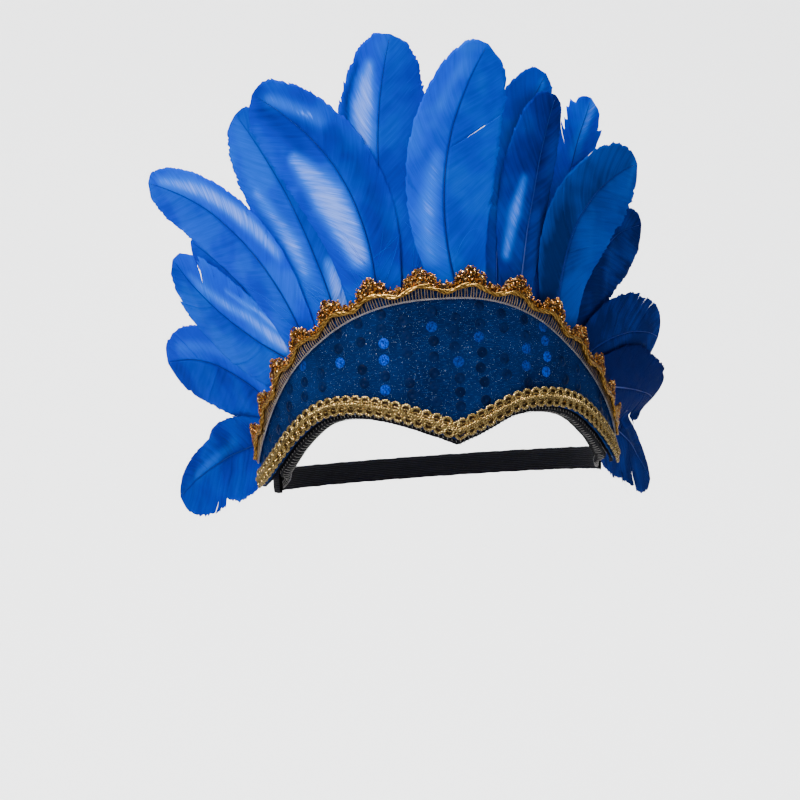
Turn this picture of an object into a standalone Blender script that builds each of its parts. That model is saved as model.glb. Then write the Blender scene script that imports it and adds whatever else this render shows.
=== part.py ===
"""Feather headdress: a stiff sequinned front panel with braid, trim, lining, elastic and a fan of feathers.

Metres, +Z up, the front looking along -Y. The origin is the middle of the head opening at the height of
the elastic. Every piece is drawn flat, as the maker cuts it: p runs along the band from its middle to its
end, q is the height. The flat pattern is then wrapped round an ellipse, and outside the panel it runs on
along straight rulings, which is where the feathers stand.
"""

import math

import bmesh
import bpy
import numpy as np

# Head opening: the half axes of the ellipse that the panel's front face follows
HEAD_HALF_WIDTH = 0.086
HEAD_HALF_DEPTH = 0.097

# Front panel
PANEL_HALF_LENGTH = 0.136
PANEL_HEIGHT = 0.0855
PANEL_WALL = 0.0025
CLEARANCE = 0.00035

# Lining behind the panel, with its lower rim, up to a share of the panel's height
LINING_WALL = 0.0015
LINING_DROP = 0.002
LINING_RIM = 0.004
LINING_REACH = 0.8

# Where the pocket between panel and lining widens for the elastic, as shares of PANEL_HALF_LENGTH
POCKET_WIDENS = 0.80
POCKET_RAMP = 0.06

# Gimp braid along the lower edge
BRAID_WIDTH = 0.009
BRAID_THICKNESS = 0.002

# Scalloped trim along the upper edge
TRIM_SINK = 0.0036
TRIM_THICKNESS = 0.0022
TRIM_WAVE = 0.0052
TRIM_LOBE_HEIGHT = 0.0115
TRIM_LOBE_WIDTH = 0.0115
TRIM_LOBES = 14

# Elastic round the back of the head
STRAP_WIDTH = 0.011
STRAP_THICKNESS = 0.0012
STRAP_LEVEL = 0.0025
STRAP_TUCK = 0.012

# Feathers
FEATHER_LENGTH = 0.115
FEATHER_VANE = 0.024
FEATHER_TUCK = 0.018
VANE_THICKNESS = 0.0006
RACHIS_THICKNESS = 0.001
LAYER_STEP = 0.0013
LAYER_SPREAD = 0.035
LAYERS = 3

# Fan: where its rulings meet, how far they turn back with the panel, how far they lean back, over what
# distance they ease into that, and the radius that the feathers curl to
FAN_CENTRE_HEIGHT = -0.004
FAN_TURN = 0.67
FAN_LEAN = math.radians(8.0)
FAN_EASE = 0.014
FAN_CURL_RADIUS = 1.4

# Panel outline, from its middle to its end: along as a share of PANEL_HALF_LENGTH, heights of PANEL_HEIGHT
# along, bottom on the left, bottom on the right, top on the left, top on the right
PANEL_ROWS = (
    (0.00, 0.198, 0.198, 1.000, 1.000),
    (0.10, 0.262, 0.257, 1.000, 0.988),
    (0.22, 0.331, 0.334, 0.978, 0.940),
    (0.35, 0.374, 0.345, 0.920, 0.842),
    (0.48, 0.362, 0.305, 0.820, 0.700),
    (0.62, 0.262, 0.200, 0.680, 0.535),
    (0.76, 0.130, 0.090, 0.497, 0.370),
    (0.88, 0.045, 0.024, 0.325, 0.240),
    (1.00, 0.005, 0.003, 0.170, 0.165),
)

# Vane outline, from the tip of the quill to the tip of the feather: along as a share of the feather's
# length beyond the panel's edge, where the quill's share is negative, and half width of the vane's width
VANE_ROWS = (
    (0.00, 0.50),
    (0.12, 0.70),
    (0.28, 0.88),
    (0.45, 0.98),
    (0.60, 1.00),
    (0.74, 0.94),
    (0.85, 0.79),
    (0.93, 0.57),
    (0.98, 0.32),
    (1.00, 0.10),
)
QUILL_ROWS = (
    (1.00, 0.04),
    (0.50, 0.12),
    (0.20, 0.34),
)

# Feathers from the left end to the right end. seat: place on the panel's upper edge, as a share of
# PANEL_HALF_LENGTH; turn: degrees from upright in the flat pattern; length: share of FEATHER_LENGTH;
# left, right: vane widths as shares of FEATHER_VANE; bow: how far the rachis bends, as a share of the
# length; layer: 0 is next to the panel
# name, seat, turn, length, left, right, bow, layer
FEATHER_ROWS = (
    ("feather_left_1", -0.93, -103, 1.00, 0.95, 0.72, 0.056, 1),
    ("feather_left_2", -0.84, -73, 0.93, 1.08, 0.78, 0.110, 2),
    ("feather_left_3", -0.63, -57, 0.90, 0.96, 0.80, -0.070, 1),
    ("feather_left_4", -0.67, -45, 0.84, 0.80, 0.75, 0.080, 2),
    ("feather_left_5", -0.565, -47, 1.12, 0.88, 0.62, 0.134, 0),
    ("feather_left_6", -0.42, -26, 1.00, 1.06, 0.80, 0.055, 1),
    ("feather_left_7", -0.25, -30, 1.03, 1.14, 0.80, 0.150, 0),
    ("feather_left_8", -0.155, 2, 1.07, 0.90, 1.05, -0.080, 1),
    ("feather_right_9", 0.035, 14, 1.03, 0.82, 1.10, -0.120, 0),
    ("feather_right_8", 0.19, 24, 1.00, 0.80, 0.72, -0.090, 2),
    ("feather_right_7", 0.275, 20, 0.91, 0.78, 0.50, -0.035, 1),
    ("feather_right_6", 0.375, 27, 1.03, 0.60, 0.72, -0.035, 2),
    ("feather_right_5", 0.445, 40, 0.90, 0.76, 1.05, -0.190, 0),
    ("feather_right_4", 0.55, 50, 0.83, 0.60, 1.15, -0.180, 2),
    ("feather_right_3", 0.59, 84, 0.88, 0.80, 0.92, -0.075, 1),
    ("feather_right_2", 0.705, 94, 1.00, 0.90, 0.74, -0.014, 0),
    ("feather_right_1", 0.93, 104, 1.08, 0.80, 1.00, -0.100, 2),
)

# Cross-section of the braid: across as a share of BRAID_WIDTH, thickness as a share of BRAID_THICKNESS
BRAID_PROFILE = ((0.0, 0.45), (0.18, 1.0), (0.42, 0.75), (0.58, 0.75), (0.82, 1.0), (1.0, 0.45))

# Fineness of the faceted solids
PANEL_COLUMNS = 56
TRIM_COLUMNS_PER_LOBE = 12
STRAP_COLUMNS = 48
VANE_ACROSS = (-1.0, -0.55, 0.0, 0.55, 1.0)
TABLE_STEPS = 720

PLAN_END = math.radians(150.0)


def smooth_curve(x, rows_x, rows_y):
    """Smooth curve through the rows: a cubic between neighbours, with the rows' own slopes."""
    xs = np.asarray(rows_x, float)
    ys = np.asarray(rows_y, float)
    slopes = np.gradient(ys, xs)
    x = np.clip(x, xs[0], xs[-1])
    i = np.clip(np.searchsorted(xs, x, side="right") - 1, 0, len(xs) - 2)
    width = xs[i + 1] - xs[i]
    t = (x - xs[i]) / width
    rise = ys[i + 1] - ys[i]
    start = slopes[i] * width
    end = slopes[i + 1] * width
    return ys[i] + t * (start + t * ((3 * rise - 2 * start - end) + t * (start + end - 2 * rise)))


def smooth_step(x):
    """0 below 0, 1 above 1, and a smooth rise between."""
    t = np.clip(x, 0.0, 1.0)
    return t * t * (3.0 - 2.0 * t)


class PlanEllipse:
    """The ellipse round the head, measured by the length along it from the front middle."""

    def __init__(self):
        self.angles = np.linspace(0.0, PLAN_END, TABLE_STEPS)
        speed = np.hypot(HEAD_HALF_WIDTH * np.cos(self.angles), HEAD_HALF_DEPTH * np.sin(self.angles))
        pieces = 0.5 * (speed[1:] + speed[:-1]) * np.diff(self.angles)
        self.lengths = np.concatenate([[0.0], np.cumsum(pieces)])

    def angle(self, length):
        return np.interp(length, self.lengths, self.angles)

    def point(self, angle, depth):
        """Point at a plan angle, moved in from the ellipse by a depth."""
        normal_x = np.sin(angle) / HEAD_HALF_WIDTH
        normal_y = -np.cos(angle) / HEAD_HALF_DEPTH
        scale = depth / np.hypot(normal_x, normal_y)
        x = HEAD_HALF_WIDTH * np.sin(angle) - scale * normal_x
        y = -HEAD_HALF_DEPTH * np.cos(angle) - scale * normal_y
        return x, y

    def heading(self, angle):
        """Direction of the ellipse in plan: 0 along X at the front, a right angle at the side."""
        return np.arctan2(HEAD_HALF_DEPTH * np.sin(angle), HEAD_HALF_WIDTH * np.cos(angle))


PLAN = PlanEllipse()


def panel_edge(p, left_column, right_column):
    """Height along the band, from the panel table's column for either side."""
    rows = np.array(PANEL_ROWS)
    along = np.abs(p) / PANEL_HALF_LENGTH
    left = smooth_curve(along, rows[:, 0], rows[:, left_column])
    right = smooth_curve(along, rows[:, 0], rows[:, right_column])
    return PANEL_HEIGHT * np.where(np.asarray(p) < 0, left, right)


def bottom_edge(p):
    """Height of the panel's lower edge."""
    return panel_edge(p, 1, 2)


def top_edge(p):
    """Height of the panel's upper edge."""
    return panel_edge(p, 3, 4)


def edge_in_polar(side):
    """The upper edge of one side, as directions from the fan's centre and distances to it."""
    along = np.linspace(0.0, PANEL_HALF_LENGTH, TABLE_STEPS)
    rise = top_edge(side * along) - FAN_CENTRE_HEIGHT
    return np.arctan2(along, rise), np.hypot(along, rise)


EDGE_LEFT = edge_in_polar(-1.0)
EDGE_RIGHT = edge_in_polar(1.0)


def past_edge(p, q):
    """Direction from the fan's centre, distance to the panel's edge, and distance past that edge."""
    away = np.abs(p)
    rise = q - FAN_CENTRE_HEIGHT
    direction = np.arctan2(away, rise)
    reach_left = np.interp(direction, *EDGE_LEFT)
    reach_right = np.interp(direction, *EDGE_RIGHT)
    reach = np.where(p < 0, reach_left, reach_right)
    return direction, reach, np.hypot(away, rise) - reach


def ruling(direction, heading, lean):
    """Unit direction of a straight ruling of the fan: out along the heading, up, and leaning back."""
    out = np.sin(direction)
    up = np.cos(direction)
    x = out * np.cos(heading) - up * math.sin(lean) * np.sin(heading)
    y = out * np.sin(heading) + up * math.sin(lean) * np.cos(heading)
    return x, y, up * math.cos(lean)


def wrap(p, q, depth):
    """Flat pattern to space. Within the panel it follows the ellipse; past the panel's upper edge it
    leaves along the ellipse's tangent and eases into the fan's ruling."""
    p, q, depth = np.broadcast_arrays(np.asarray(p, float), np.asarray(q, float), np.asarray(depth, float))
    direction, reach, past = past_edge(p, q)
    outside = past > 0
    edge_p = np.where(outside, reach * np.sin(direction), np.abs(p))
    edge_q = np.where(outside, FAN_CENTRE_HEIGHT + reach * np.cos(direction), q)
    angle = PLAN.angle(edge_p)
    x, y = PLAN.point(angle, depth)
    tangent = PLAN.heading(angle)
    turned = FAN_TURN * tangent
    run = np.maximum(past, 0.0)
    eased = FAN_EASE * (1.0 - np.exp(-run / FAN_EASE))
    along = ruling(direction, turned, FAN_LEAN)
    leaving = ruling(direction, tangent, 0.0)
    curl = run * run / (2 * FAN_CURL_RADIUS)
    x = x + run * along[0] + eased * (leaving[0] - along[0]) - curl * np.sin(turned)
    y = y + run * along[1] + eased * (leaving[1] - along[1]) + curl * np.cos(turned)
    z = edge_q + run * along[2] + eased * (leaving[2] - along[2])
    return np.stack([np.where(p < 0, -x, x), y, z], axis=-1)


def remove_everything():
    for item in list(bpy.data.objects):
        bpy.data.objects.remove(item, do_unlink=True)


def material(name, colour, roughness, metallic=0.0):
    made = bpy.data.materials.new(name)
    made.use_nodes = True
    shader = made.node_tree.nodes["Principled BSDF"]
    shader.inputs["Base Color"].default_value = (*colour, 1.0)
    shader.inputs["Roughness"].default_value = roughness
    shader.inputs["Metallic"].default_value = metallic
    return made


def add_to_part(name, mesh, finish):
    mesh.materials.append(finish)
    mesh.shade_smooth()
    mesh.set_sharp_from_angle(angle=math.radians(35.0))
    piece = bpy.data.objects.new(name, mesh)
    bpy.data.collections["feather_headdress"].objects.link(piece)
    return piece


def sheet(name, points, finish, thickness, weights=None, offset=0.0):
    """A grid of points, rows by columns, as an open sheet with its wall from Solidify. Weights give the
    share of the thickness at each point."""
    rows, columns = points.shape[:2]
    grid = bmesh.new()
    bmesh.ops.create_grid(grid, x_segments=columns - 1, y_segments=rows - 1, size=0.5)
    grid.verts.ensure_lookup_table()
    grid.verts.index_update()
    flat = points.reshape(-1, 3)
    for vertex in grid.verts:
        column = round((vertex.co.x + 0.5) * (columns - 1))
        row = round((vertex.co.y + 0.5) * (rows - 1))
        vertex.co = flat[row * columns + column]
        vertex.index = row * columns + column
    grid.verts.sort()
    mesh = bpy.data.meshes.new(name)
    grid.to_mesh(mesh)
    grid.free()
    piece = add_to_part(name, mesh, finish)
    wall = piece.modifiers.new("Wall", "SOLIDIFY")
    wall.thickness = thickness
    wall.offset = offset
    if weights is not None:
        group = piece.vertex_groups.new(name="thickness")
        for index, weight in enumerate(weights.reshape(-1)):
            group.add([index], float(weight), "REPLACE")
        wall.vertex_group = group.name
        wall.thickness_vertex_group = 0.0
    return piece


def panel_stations():
    """Distances along the band, from its left end to its right end, with one at the V point."""
    return np.linspace(-PANEL_HALF_LENGTH, PANEL_HALF_LENGTH, PANEL_COLUMNS + 1)


def build_panel(finish):
    p = panel_stations()
    up = np.linspace(0.0, 1.0, 4)[:, None]
    q = bottom_edge(p) + up * (top_edge(p) - bottom_edge(p))
    return sheet("front_panel", wrap(np.broadcast_to(p, q.shape), q, 0.0), finish, PANEL_WALL, offset=-1.0)


def pocket_widening(p):
    """0 along the band and 1 near its ends, where the elastic comes into the pocket."""
    return smooth_step((np.abs(p) / PANEL_HALF_LENGTH - POCKET_WIDENS) / POCKET_RAMP)


def pocket_depth(p):
    """Depth of the lining's front face: the panel and the feathers lie before it, and the elastic too."""
    feathers = RACHIS_THICKNESS + (LAYERS - 1) * LAYER_STEP
    elastic = pocket_widening(p) * (STRAP_THICKNESS + CLEARANCE)
    return PANEL_WALL + feathers + 2 * CLEARANCE + elastic


def feather_depth(layer):
    """Depth of a feather's middle within the pocket."""
    return PANEL_WALL + CLEARANCE + RACHIS_THICKNESS / 2 + layer * LAYER_STEP


def build_lining(finish):
    """A loft of one section along the band: the lining's wall with a thick rim along its lower edge. The
    rim reaches forward to the panel, and thins out at the ends where the elastic comes in."""
    p = panel_stations()
    inner = pocket_depth(p)
    back = inner + LINING_WALL
    rim_closed = PANEL_WALL + CLEARANCE
    rim_front = rim_closed + pocket_widening(p) * (inner - rim_closed)
    low = bottom_edge(p) - LINING_DROP
    step = low + LINING_RIM
    high = bottom_edge(p) + LINING_REACH * (top_edge(p) - bottom_edge(p))
    section = (
        (low, rim_front),
        (step, rim_front),
        (step + CLEARANCE, inner),
        (high, inner),
        (high, back),
        (low, back),
    )
    rings = np.stack([wrap(p, q, depth) for q, depth in section], axis=1)
    return loft("lining", rings, finish)


def loft(name, rings, finish):
    """Closed rings of points, one after the other, joined by quads and closed by a face at each end."""
    count, corners = rings.shape[:2]
    body = bmesh.new()
    made = [[body.verts.new(point) for point in ring] for ring in rings]
    for i in range(count - 1):
        for j in range(corners):
            k = (j + 1) % corners
            body.faces.new((made[i][j], made[i][k], made[i + 1][k], made[i + 1][j]))
    body.faces.new(made[0][::-1])
    body.faces.new(made[-1])
    bmesh.ops.recalc_face_normals(body, faces=body.faces)
    mesh = bpy.data.meshes.new(name)
    body.to_mesh(mesh)
    body.free()
    return add_to_part(name, mesh, finish)


def build_braid(finish):
    """A ribbon with two raised rows, its width measured square to the panel's lower edge."""
    p = panel_stations()
    low = bottom_edge(p)
    slope = np.abs(np.gradient(low, p))
    middle = np.argmin(np.abs(p))
    slope[middle] = slope[middle + 1]
    height = BRAID_WIDTH * np.hypot(1.0, slope)
    profile = np.array(BRAID_PROFILE)
    q = low + profile[:, :1] * height
    weights = np.broadcast_to(profile[:, 1:], q.shape)
    points = wrap(np.broadcast_to(p, q.shape), q, -CLEARANCE)
    return sheet("bottom_braid", points, finish, BRAID_THICKNESS, weights, offset=1.0)


def edge_run(columns):
    """Points of the panel's upper edge at even distances along it, with the unit normals that point up
    and out of the panel, and the distance run."""
    p = np.linspace(-PANEL_HALF_LENGTH, PANEL_HALF_LENGTH, TABLE_STEPS)
    q = top_edge(p)
    run = np.concatenate([[0.0], np.cumsum(np.hypot(np.diff(p), np.diff(q)))])
    even = np.linspace(0.0, run[-1], columns + 1)
    step_p = np.gradient(np.interp(even, run, p))
    step_q = np.gradient(np.interp(even, run, q))
    length = np.hypot(step_p, step_q)
    return np.interp(even, run, p), np.interp(even, run, q), -step_q / length, step_p / length, even


def trim_height(run, whole):
    """Height of the trim above the panel's edge: a wave, with a round lobe standing on each crest."""
    pitch = whole / TRIM_LOBES
    phase = (run / pitch) % 1.0 - 0.5
    wave = TRIM_WAVE * (0.75 + 0.25 * np.cos(2 * math.pi * phase))
    across = np.clip(np.abs(phase) * pitch / (TRIM_LOBE_WIDTH / 2), 0.0, 1.0)
    lobe = TRIM_LOBE_HEIGHT * np.sqrt(1.0 - across**2)
    return np.maximum(wave, lobe)


def build_trim(finish):
    p, q, normal_p, normal_q, run = edge_run(TRIM_LOBES * TRIM_COLUMNS_PER_LOBE)
    top = trim_height(run, run[-1])
    cord = 0.35 * TRIM_WAVE * (1.0 + np.cos(2 * math.pi * (run * TRIM_LOBES / run[-1] - 0.5)))
    heights = np.stack([np.full_like(run, -TRIM_SINK), cord, 0.45 * cord + 0.55 * top, top])
    weights = np.repeat([[0.4], [1.0], [1.0], [0.55]], len(run), axis=1)
    points = wrap(p + normal_p * heights, q + normal_q * heights, -CLEARANCE)
    return sheet("top_trim", points, finish, TRIM_THICKNESS, weights, offset=1.0)


def build_strap(finish):
    """The elastic: from inside one end of the panel, round the back of the head, into the other."""
    tucked = float(PLAN.angle(PANEL_HALF_LENGTH - STRAP_TUCK))
    angle = np.linspace(tucked, 2 * math.pi - tucked, STRAP_COLUMNS + 1)
    depth = pocket_depth(PANEL_HALF_LENGTH) - CLEARANCE
    x, y = PLAN.point(angle, depth)
    up = np.array([[-0.5], [0.5]]) * STRAP_WIDTH + STRAP_LEVEL
    grid = np.stack(np.broadcast_arrays(x, y, up), axis=-1)
    return sheet("elastic_strap", grid, finish, STRAP_THICKNESS, offset=1.0)


def rachis_line(row, along):
    """Points and unit normals of a feather's rachis in the flat pattern. It bows as a parabola from the
    panel's edge to its tip, and runs straight back into the pocket."""
    _, seat, turn, length_share, _, _, bow_share, _ = row
    length = length_share * FEATHER_LENGTH
    seat_p = seat * PANEL_HALF_LENGTH
    seat_q = float(top_edge(seat_p))
    out = (math.sin(math.radians(turn)), math.cos(math.radians(turn)))
    side = (out[1], -out[0])
    bow = bow_share * length
    forward = length * along
    sideways = np.where(along > 0, 4 * bow * along * (1 - along), 4 * bow * along)
    slope = np.where(along > 0, 4 * bow * (1 - 2 * along), 4 * bow)
    p = seat_p + forward * out[0] + sideways * side[0]
    q = seat_q + forward * out[1] + sideways * side[1]
    norm = np.hypot(length, slope)
    return p, q, (length * side[0] - slope * out[0]) / norm, (length * side[1] - slope * out[1]) / norm


def build_feather(row, finish):
    name, _, _, length_share, left, right, _, layer = row
    quill = np.array(QUILL_ROWS)
    vane = np.array(VANE_ROWS)
    tuck = FEATHER_TUCK / (length_share * FEATHER_LENGTH)
    along = np.concatenate([-quill[:, 0] * tuck, vane[:, 0]])[:, None]
    width = np.concatenate([quill[:, 1], vane[:, 1]])[:, None]
    across = np.array(VANE_ACROSS)[None, :]
    p, q, normal_p, normal_q = rachis_line(row, along)
    side_width = FEATHER_VANE * np.where(across < 0, left, right) * width * across
    p = p + normal_p * side_width
    q = q + normal_q * side_width
    run = np.maximum(past_edge(p, q)[2], 0.0)
    depth = feather_depth(layer) + layer * LAYER_SPREAD * run
    vane_share = VANE_THICKNESS / RACHIS_THICKNESS
    weights = np.broadcast_to(np.where(across == 0, 1.0, vane_share), p.shape)
    return sheet(name, wrap(p, q, depth), finish, RACHIS_THICKNESS, weights)


def main():
    remove_everything()
    part = bpy.data.collections.new("feather_headdress")
    bpy.context.scene.collection.children.link(part)
    build_panel(material("sequin_cloth", (0.006, 0.035, 0.120), 0.35))
    build_lining(material("black_felt", (0.010, 0.010, 0.014), 0.95))
    build_braid(material("gold_gimp", (0.640, 0.400, 0.110), 0.30, 0.85))
    build_trim(material("bronze_trim", (0.450, 0.190, 0.045), 0.28, 0.85))
    build_strap(material("elastic", (0.012, 0.012, 0.018), 0.80))
    for row in FEATHER_ROWS:
        build_feather(row, material(row[0], (0.010, 0.110, 0.680), 0.40))


main()
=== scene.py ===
"""Feather headdress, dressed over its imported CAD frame: sequinned band, gimp, scalloped trim and feathers.

Metres, +Z up, the band's front towards -Y. Every piece is drawn in the flat pattern of the band, where p
runs along the band from its middle (to the right in front view) and q is the height, and one function
wraps the flat pattern round the head and on into the fan in which the feathers stand.
"""

import logging
import math
from dataclasses import dataclass
from enum import Enum

import bpy
import numpy as np
from mathutils import Matrix


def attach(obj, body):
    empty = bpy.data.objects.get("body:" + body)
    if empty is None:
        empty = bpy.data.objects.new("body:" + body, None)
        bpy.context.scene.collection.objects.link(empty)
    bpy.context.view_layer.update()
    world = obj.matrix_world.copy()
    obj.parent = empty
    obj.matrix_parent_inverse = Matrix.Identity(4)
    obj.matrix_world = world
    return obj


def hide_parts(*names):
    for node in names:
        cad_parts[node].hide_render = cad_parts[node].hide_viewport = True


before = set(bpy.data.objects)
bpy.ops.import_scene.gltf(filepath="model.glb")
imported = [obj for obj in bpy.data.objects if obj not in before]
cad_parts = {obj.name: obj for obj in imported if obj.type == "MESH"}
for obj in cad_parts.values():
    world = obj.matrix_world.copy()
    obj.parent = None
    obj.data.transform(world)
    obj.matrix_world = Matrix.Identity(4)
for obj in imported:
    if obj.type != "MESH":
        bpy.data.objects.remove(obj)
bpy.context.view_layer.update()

logging.basicConfig(level=logging.INFO, format="%(message)s")
LOG = logging.getLogger("headdress")

Array = np.ndarray
Piece = bpy.types.Object
Socket = bpy.types.NodeSocket

MM = 0.001
TAU = 2.0 * math.pi


# Numbers and curves


def smooth_curve(x: Array, rows_x: Array, rows_y: Array) -> Array:
    """Smooth curve through rows: a cubic between neighbours, with slopes taken from the rows themselves.

    Args:
        x: where the curve is read.
        rows_x: the rows' places, rising.
        rows_y: the rows' values.

    Returns:
        The curve's values at x, held level beyond the first and the last row.
    """
    xs = np.asarray(rows_x, float)
    ys = np.asarray(rows_y, float)
    slopes = np.gradient(ys, xs)
    x = np.clip(x, xs[0], xs[-1])
    i = np.clip(np.searchsorted(xs, x, side="right") - 1, 0, len(xs) - 2)
    width = xs[i + 1] - xs[i]
    t = (x - xs[i]) / width
    rise = ys[i + 1] - ys[i]
    start = slopes[i] * width
    end = slopes[i + 1] * width
    return ys[i] + t * (start + t * ((3 * rise - 2 * start - end) + t * (start + end - 2 * rise)))


def smooth_step(x: Array) -> Array:
    """0 below 0, 1 above 1, and 3t^2 - 2t^3 between."""
    t = np.clip(x, 0.0, 1.0)
    return t * t * (3.0 - 2.0 * t)


def unit(vectors: Array) -> Array:
    """Each vector divided by its length."""
    return vectors / np.maximum(np.linalg.norm(vectors, axis=-1, keepdims=True), 1e-12)


def joined(*parts: Array) -> Array:
    """Arrays brought to one shape and joined along a new last axis."""
    return np.stack(np.broadcast_arrays(*parts), axis=-1)


def soft_noise(x: Array, seed: int, waves: int = 6) -> Array:
    """Smooth noise about -1 to 1: a sum of sines whose frequencies rise by a half and whose sizes fall.

    Args:
        x: where the noise is read.
        seed: picks the phases.
        waves: how many sines.

    Returns:
        The noise at x.
    """
    random = np.random.default_rng(seed)
    total = np.zeros_like(np.asarray(x, float))
    for k in range(waves):
        total += np.sin(TAU * (1.5**k * x + random.random())) / 1.35**k
    return total / 2.0


# The flat pattern


@dataclass(frozen=True)
class Pattern:
    """The flat pattern of the headdress, with the same sizes as its CAD source."""

    head_half_width: float = 0.086
    head_half_depth: float = 0.097
    half_length: float = 0.136
    height: float = 0.0855
    fan_centre: float = -0.004
    fan_turn: float = 0.67
    fan_lean: float = math.radians(8.0)
    fan_ease: float = 0.014
    curl_radius: float = 1.4
    steps: int = 1200
    # along, bottom on the left, bottom on the right, top on the left, top on the right
    rows: tuple = (
        (0.00, 0.198, 0.198, 1.000, 1.000),
        (0.10, 0.262, 0.257, 1.000, 0.988),
        (0.22, 0.331, 0.334, 0.978, 0.940),
        (0.35, 0.374, 0.345, 0.920, 0.842),
        (0.48, 0.362, 0.305, 0.820, 0.700),
        (0.62, 0.262, 0.200, 0.680, 0.535),
        (0.76, 0.130, 0.090, 0.497, 0.370),
        (0.88, 0.045, 0.024, 0.325, 0.240),
        (1.00, 0.005, 0.003, 0.170, 0.165),
    )

    def edge(self, p: Array, left: int, right: int) -> Array:
        """Height along the band, from the table's column for either side."""
        rows = np.array(self.rows)
        along = np.abs(p) / self.half_length
        on_left = smooth_curve(along, rows[:, 0], rows[:, left])
        on_right = smooth_curve(along, rows[:, 0], rows[:, right])
        return self.height * np.where(np.asarray(p) < 0, on_left, on_right)

    def bottom(self, p: Array) -> Array:
        """Height of the panel's lower edge."""
        return self.edge(p, 1, 2)

    def top(self, p: Array) -> Array:
        """Height of the panel's upper edge."""
        return self.edge(p, 3, 4)

    def angle(self, length: Array) -> Array:
        """Plan angle at a length along the ellipse, by adding up its speed."""
        angles = np.linspace(0.0, math.radians(200.0), self.steps)
        speed = np.hypot(self.head_half_width * np.cos(angles), self.head_half_depth * np.sin(angles))
        lengths = np.concatenate([[0.0], np.cumsum(0.5 * (speed[1:] + speed[:-1]) * np.diff(angles))])
        return np.interp(length, lengths, angles)

    def plan_point(self, angle: Array, depth: Array) -> tuple[Array, Array]:
        """Plan point: (A sin t, -B cos t), moved in from the ellipse along its normal by a depth."""
        normal_x = np.sin(angle) / self.head_half_width
        normal_y = -np.cos(angle) / self.head_half_depth
        scale = depth / np.hypot(normal_x, normal_y)
        x = self.head_half_width * np.sin(angle) - scale * normal_x
        y = -self.head_half_depth * np.cos(angle) - scale * normal_y
        return x, y

    def heading(self, angle: Array) -> Array:
        """Direction of the ellipse in plan, 0 along X at the front."""
        return np.arctan2(self.head_half_depth * np.sin(angle), self.head_half_width * np.cos(angle))

    def past_edge(self, p: Array, q: Array) -> tuple[Array, Array, Array]:
        """Direction from the fan's centre, distance to the panel's edge, and distance past that edge."""
        away = np.abs(p)
        rise = q - self.fan_centre
        direction = np.arctan2(away, rise)
        along = np.linspace(0.0, self.half_length, self.steps)
        reach = []
        for side in (-1.0, 1.0):
            edge_rise = self.top(side * along) - self.fan_centre
            reach.append(np.interp(direction, np.arctan2(along, edge_rise), np.hypot(along, edge_rise)))
        distance = np.where(p < 0, reach[0], reach[1])
        return direction, distance, np.hypot(away, rise) - distance

    def ruling(self, direction: Array, heading: Array, lean: float) -> Array:
        """Unit direction of a straight ruling: out along the heading, up, and leaning back."""
        out = np.sin(direction)
        up = np.cos(direction)
        x = out * np.cos(heading) - up * math.sin(lean) * np.sin(heading)
        y = out * np.sin(heading) + up * math.sin(lean) * np.cos(heading)
        return np.stack([x, y, up * math.cos(lean)], axis=-1)

    def wrap(self, p: Array, q: Array, depth: Array) -> Array:
        """Flat pattern to space.

        Within the panel: the ellipse's point at p, moved in by the depth, at height q. Past the panel's
        upper edge by r: the edge's point + r * ruling + eased * (leaving ruling - ruling) + curl inwards,
        with eased = E(1 - exp(-r/E)) and curl = r^2 / (2 R).

        Args:
            p: length along the band.
            q: height.
            depth: distance in from the panel's front face.

        Returns:
            Points, with x, y and z last.
        """
        p, q, depth = np.broadcast_arrays(*(np.asarray(v, float) for v in (p, q, depth)))
        direction, reach, past = self.past_edge(p, q)
        outside = past > 0
        edge_p = np.where(outside, reach * np.sin(direction), np.abs(p))
        edge_q = np.where(outside, self.fan_centre + reach * np.cos(direction), q)
        angle = self.angle(edge_p)
        x, y = self.plan_point(angle, depth)
        tangent = self.heading(angle)
        turned = self.fan_turn * tangent
        run = np.maximum(past, 0.0)
        eased = self.fan_ease * (1.0 - np.exp(-run / self.fan_ease))
        along = self.ruling(direction, turned, self.fan_lean)
        leaving = self.ruling(direction, tangent, 0.0)
        curl = (run * run / (2 * self.curl_radius))[..., None]
        inwards = np.stack([-np.sin(turned), np.cos(turned), np.zeros_like(turned)], axis=-1)
        start = np.stack([x, y, edge_q], axis=-1)
        space = start + run[..., None] * along + eased[..., None] * (leaving - along) + curl * inwards
        space[..., 0] = np.where(p < 0, -space[..., 0], space[..., 0])
        return space

    def edge_run(self, count: int) -> dict[str, Array]:
        """Points at even distances along the panel's upper edge.

        Args:
            count: how many points.

        Returns:
            p, q, the unit normal (np, nq) up and out of the panel, the run along the edge, and whole.
        """
        return self.even_run(self.top, count)

    def even_run(self, height_of, count: int) -> dict[str, Array]:
        """Points at even distances along a curve q = height_of(p), with normals and the run."""
        p = np.linspace(-self.half_length, self.half_length, 4 * self.steps + 1)
        q = height_of(p)
        run = np.concatenate([[0.0], np.cumsum(np.hypot(np.diff(p), np.diff(q)))])
        even = np.linspace(0.0, run[-1], count)
        return self.read_run(p, q, run, even)

    @staticmethod
    def read_run(p: Array, q: Array, run: Array, at: Array) -> dict[str, Array]:
        """Reads a curve's points and unit normals at given runs."""
        step_p = np.gradient(p, run)
        step_q = np.gradient(q, run)
        tangent_p = np.interp(at, run, step_p)
        tangent_q = np.interp(at, run, step_q)
        length = np.hypot(tangent_p, tangent_q)
        return {
            "p": np.interp(at, run, p),
            "q": np.interp(at, run, q),
            "normal_p": -tangent_q / length,
            "normal_q": tangent_p / length,
            "tangent_p": tangent_p / length,
            "tangent_q": tangent_q / length,
            "run": at,
            "whole": run[-1],
        }


PATTERN = Pattern()


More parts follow.
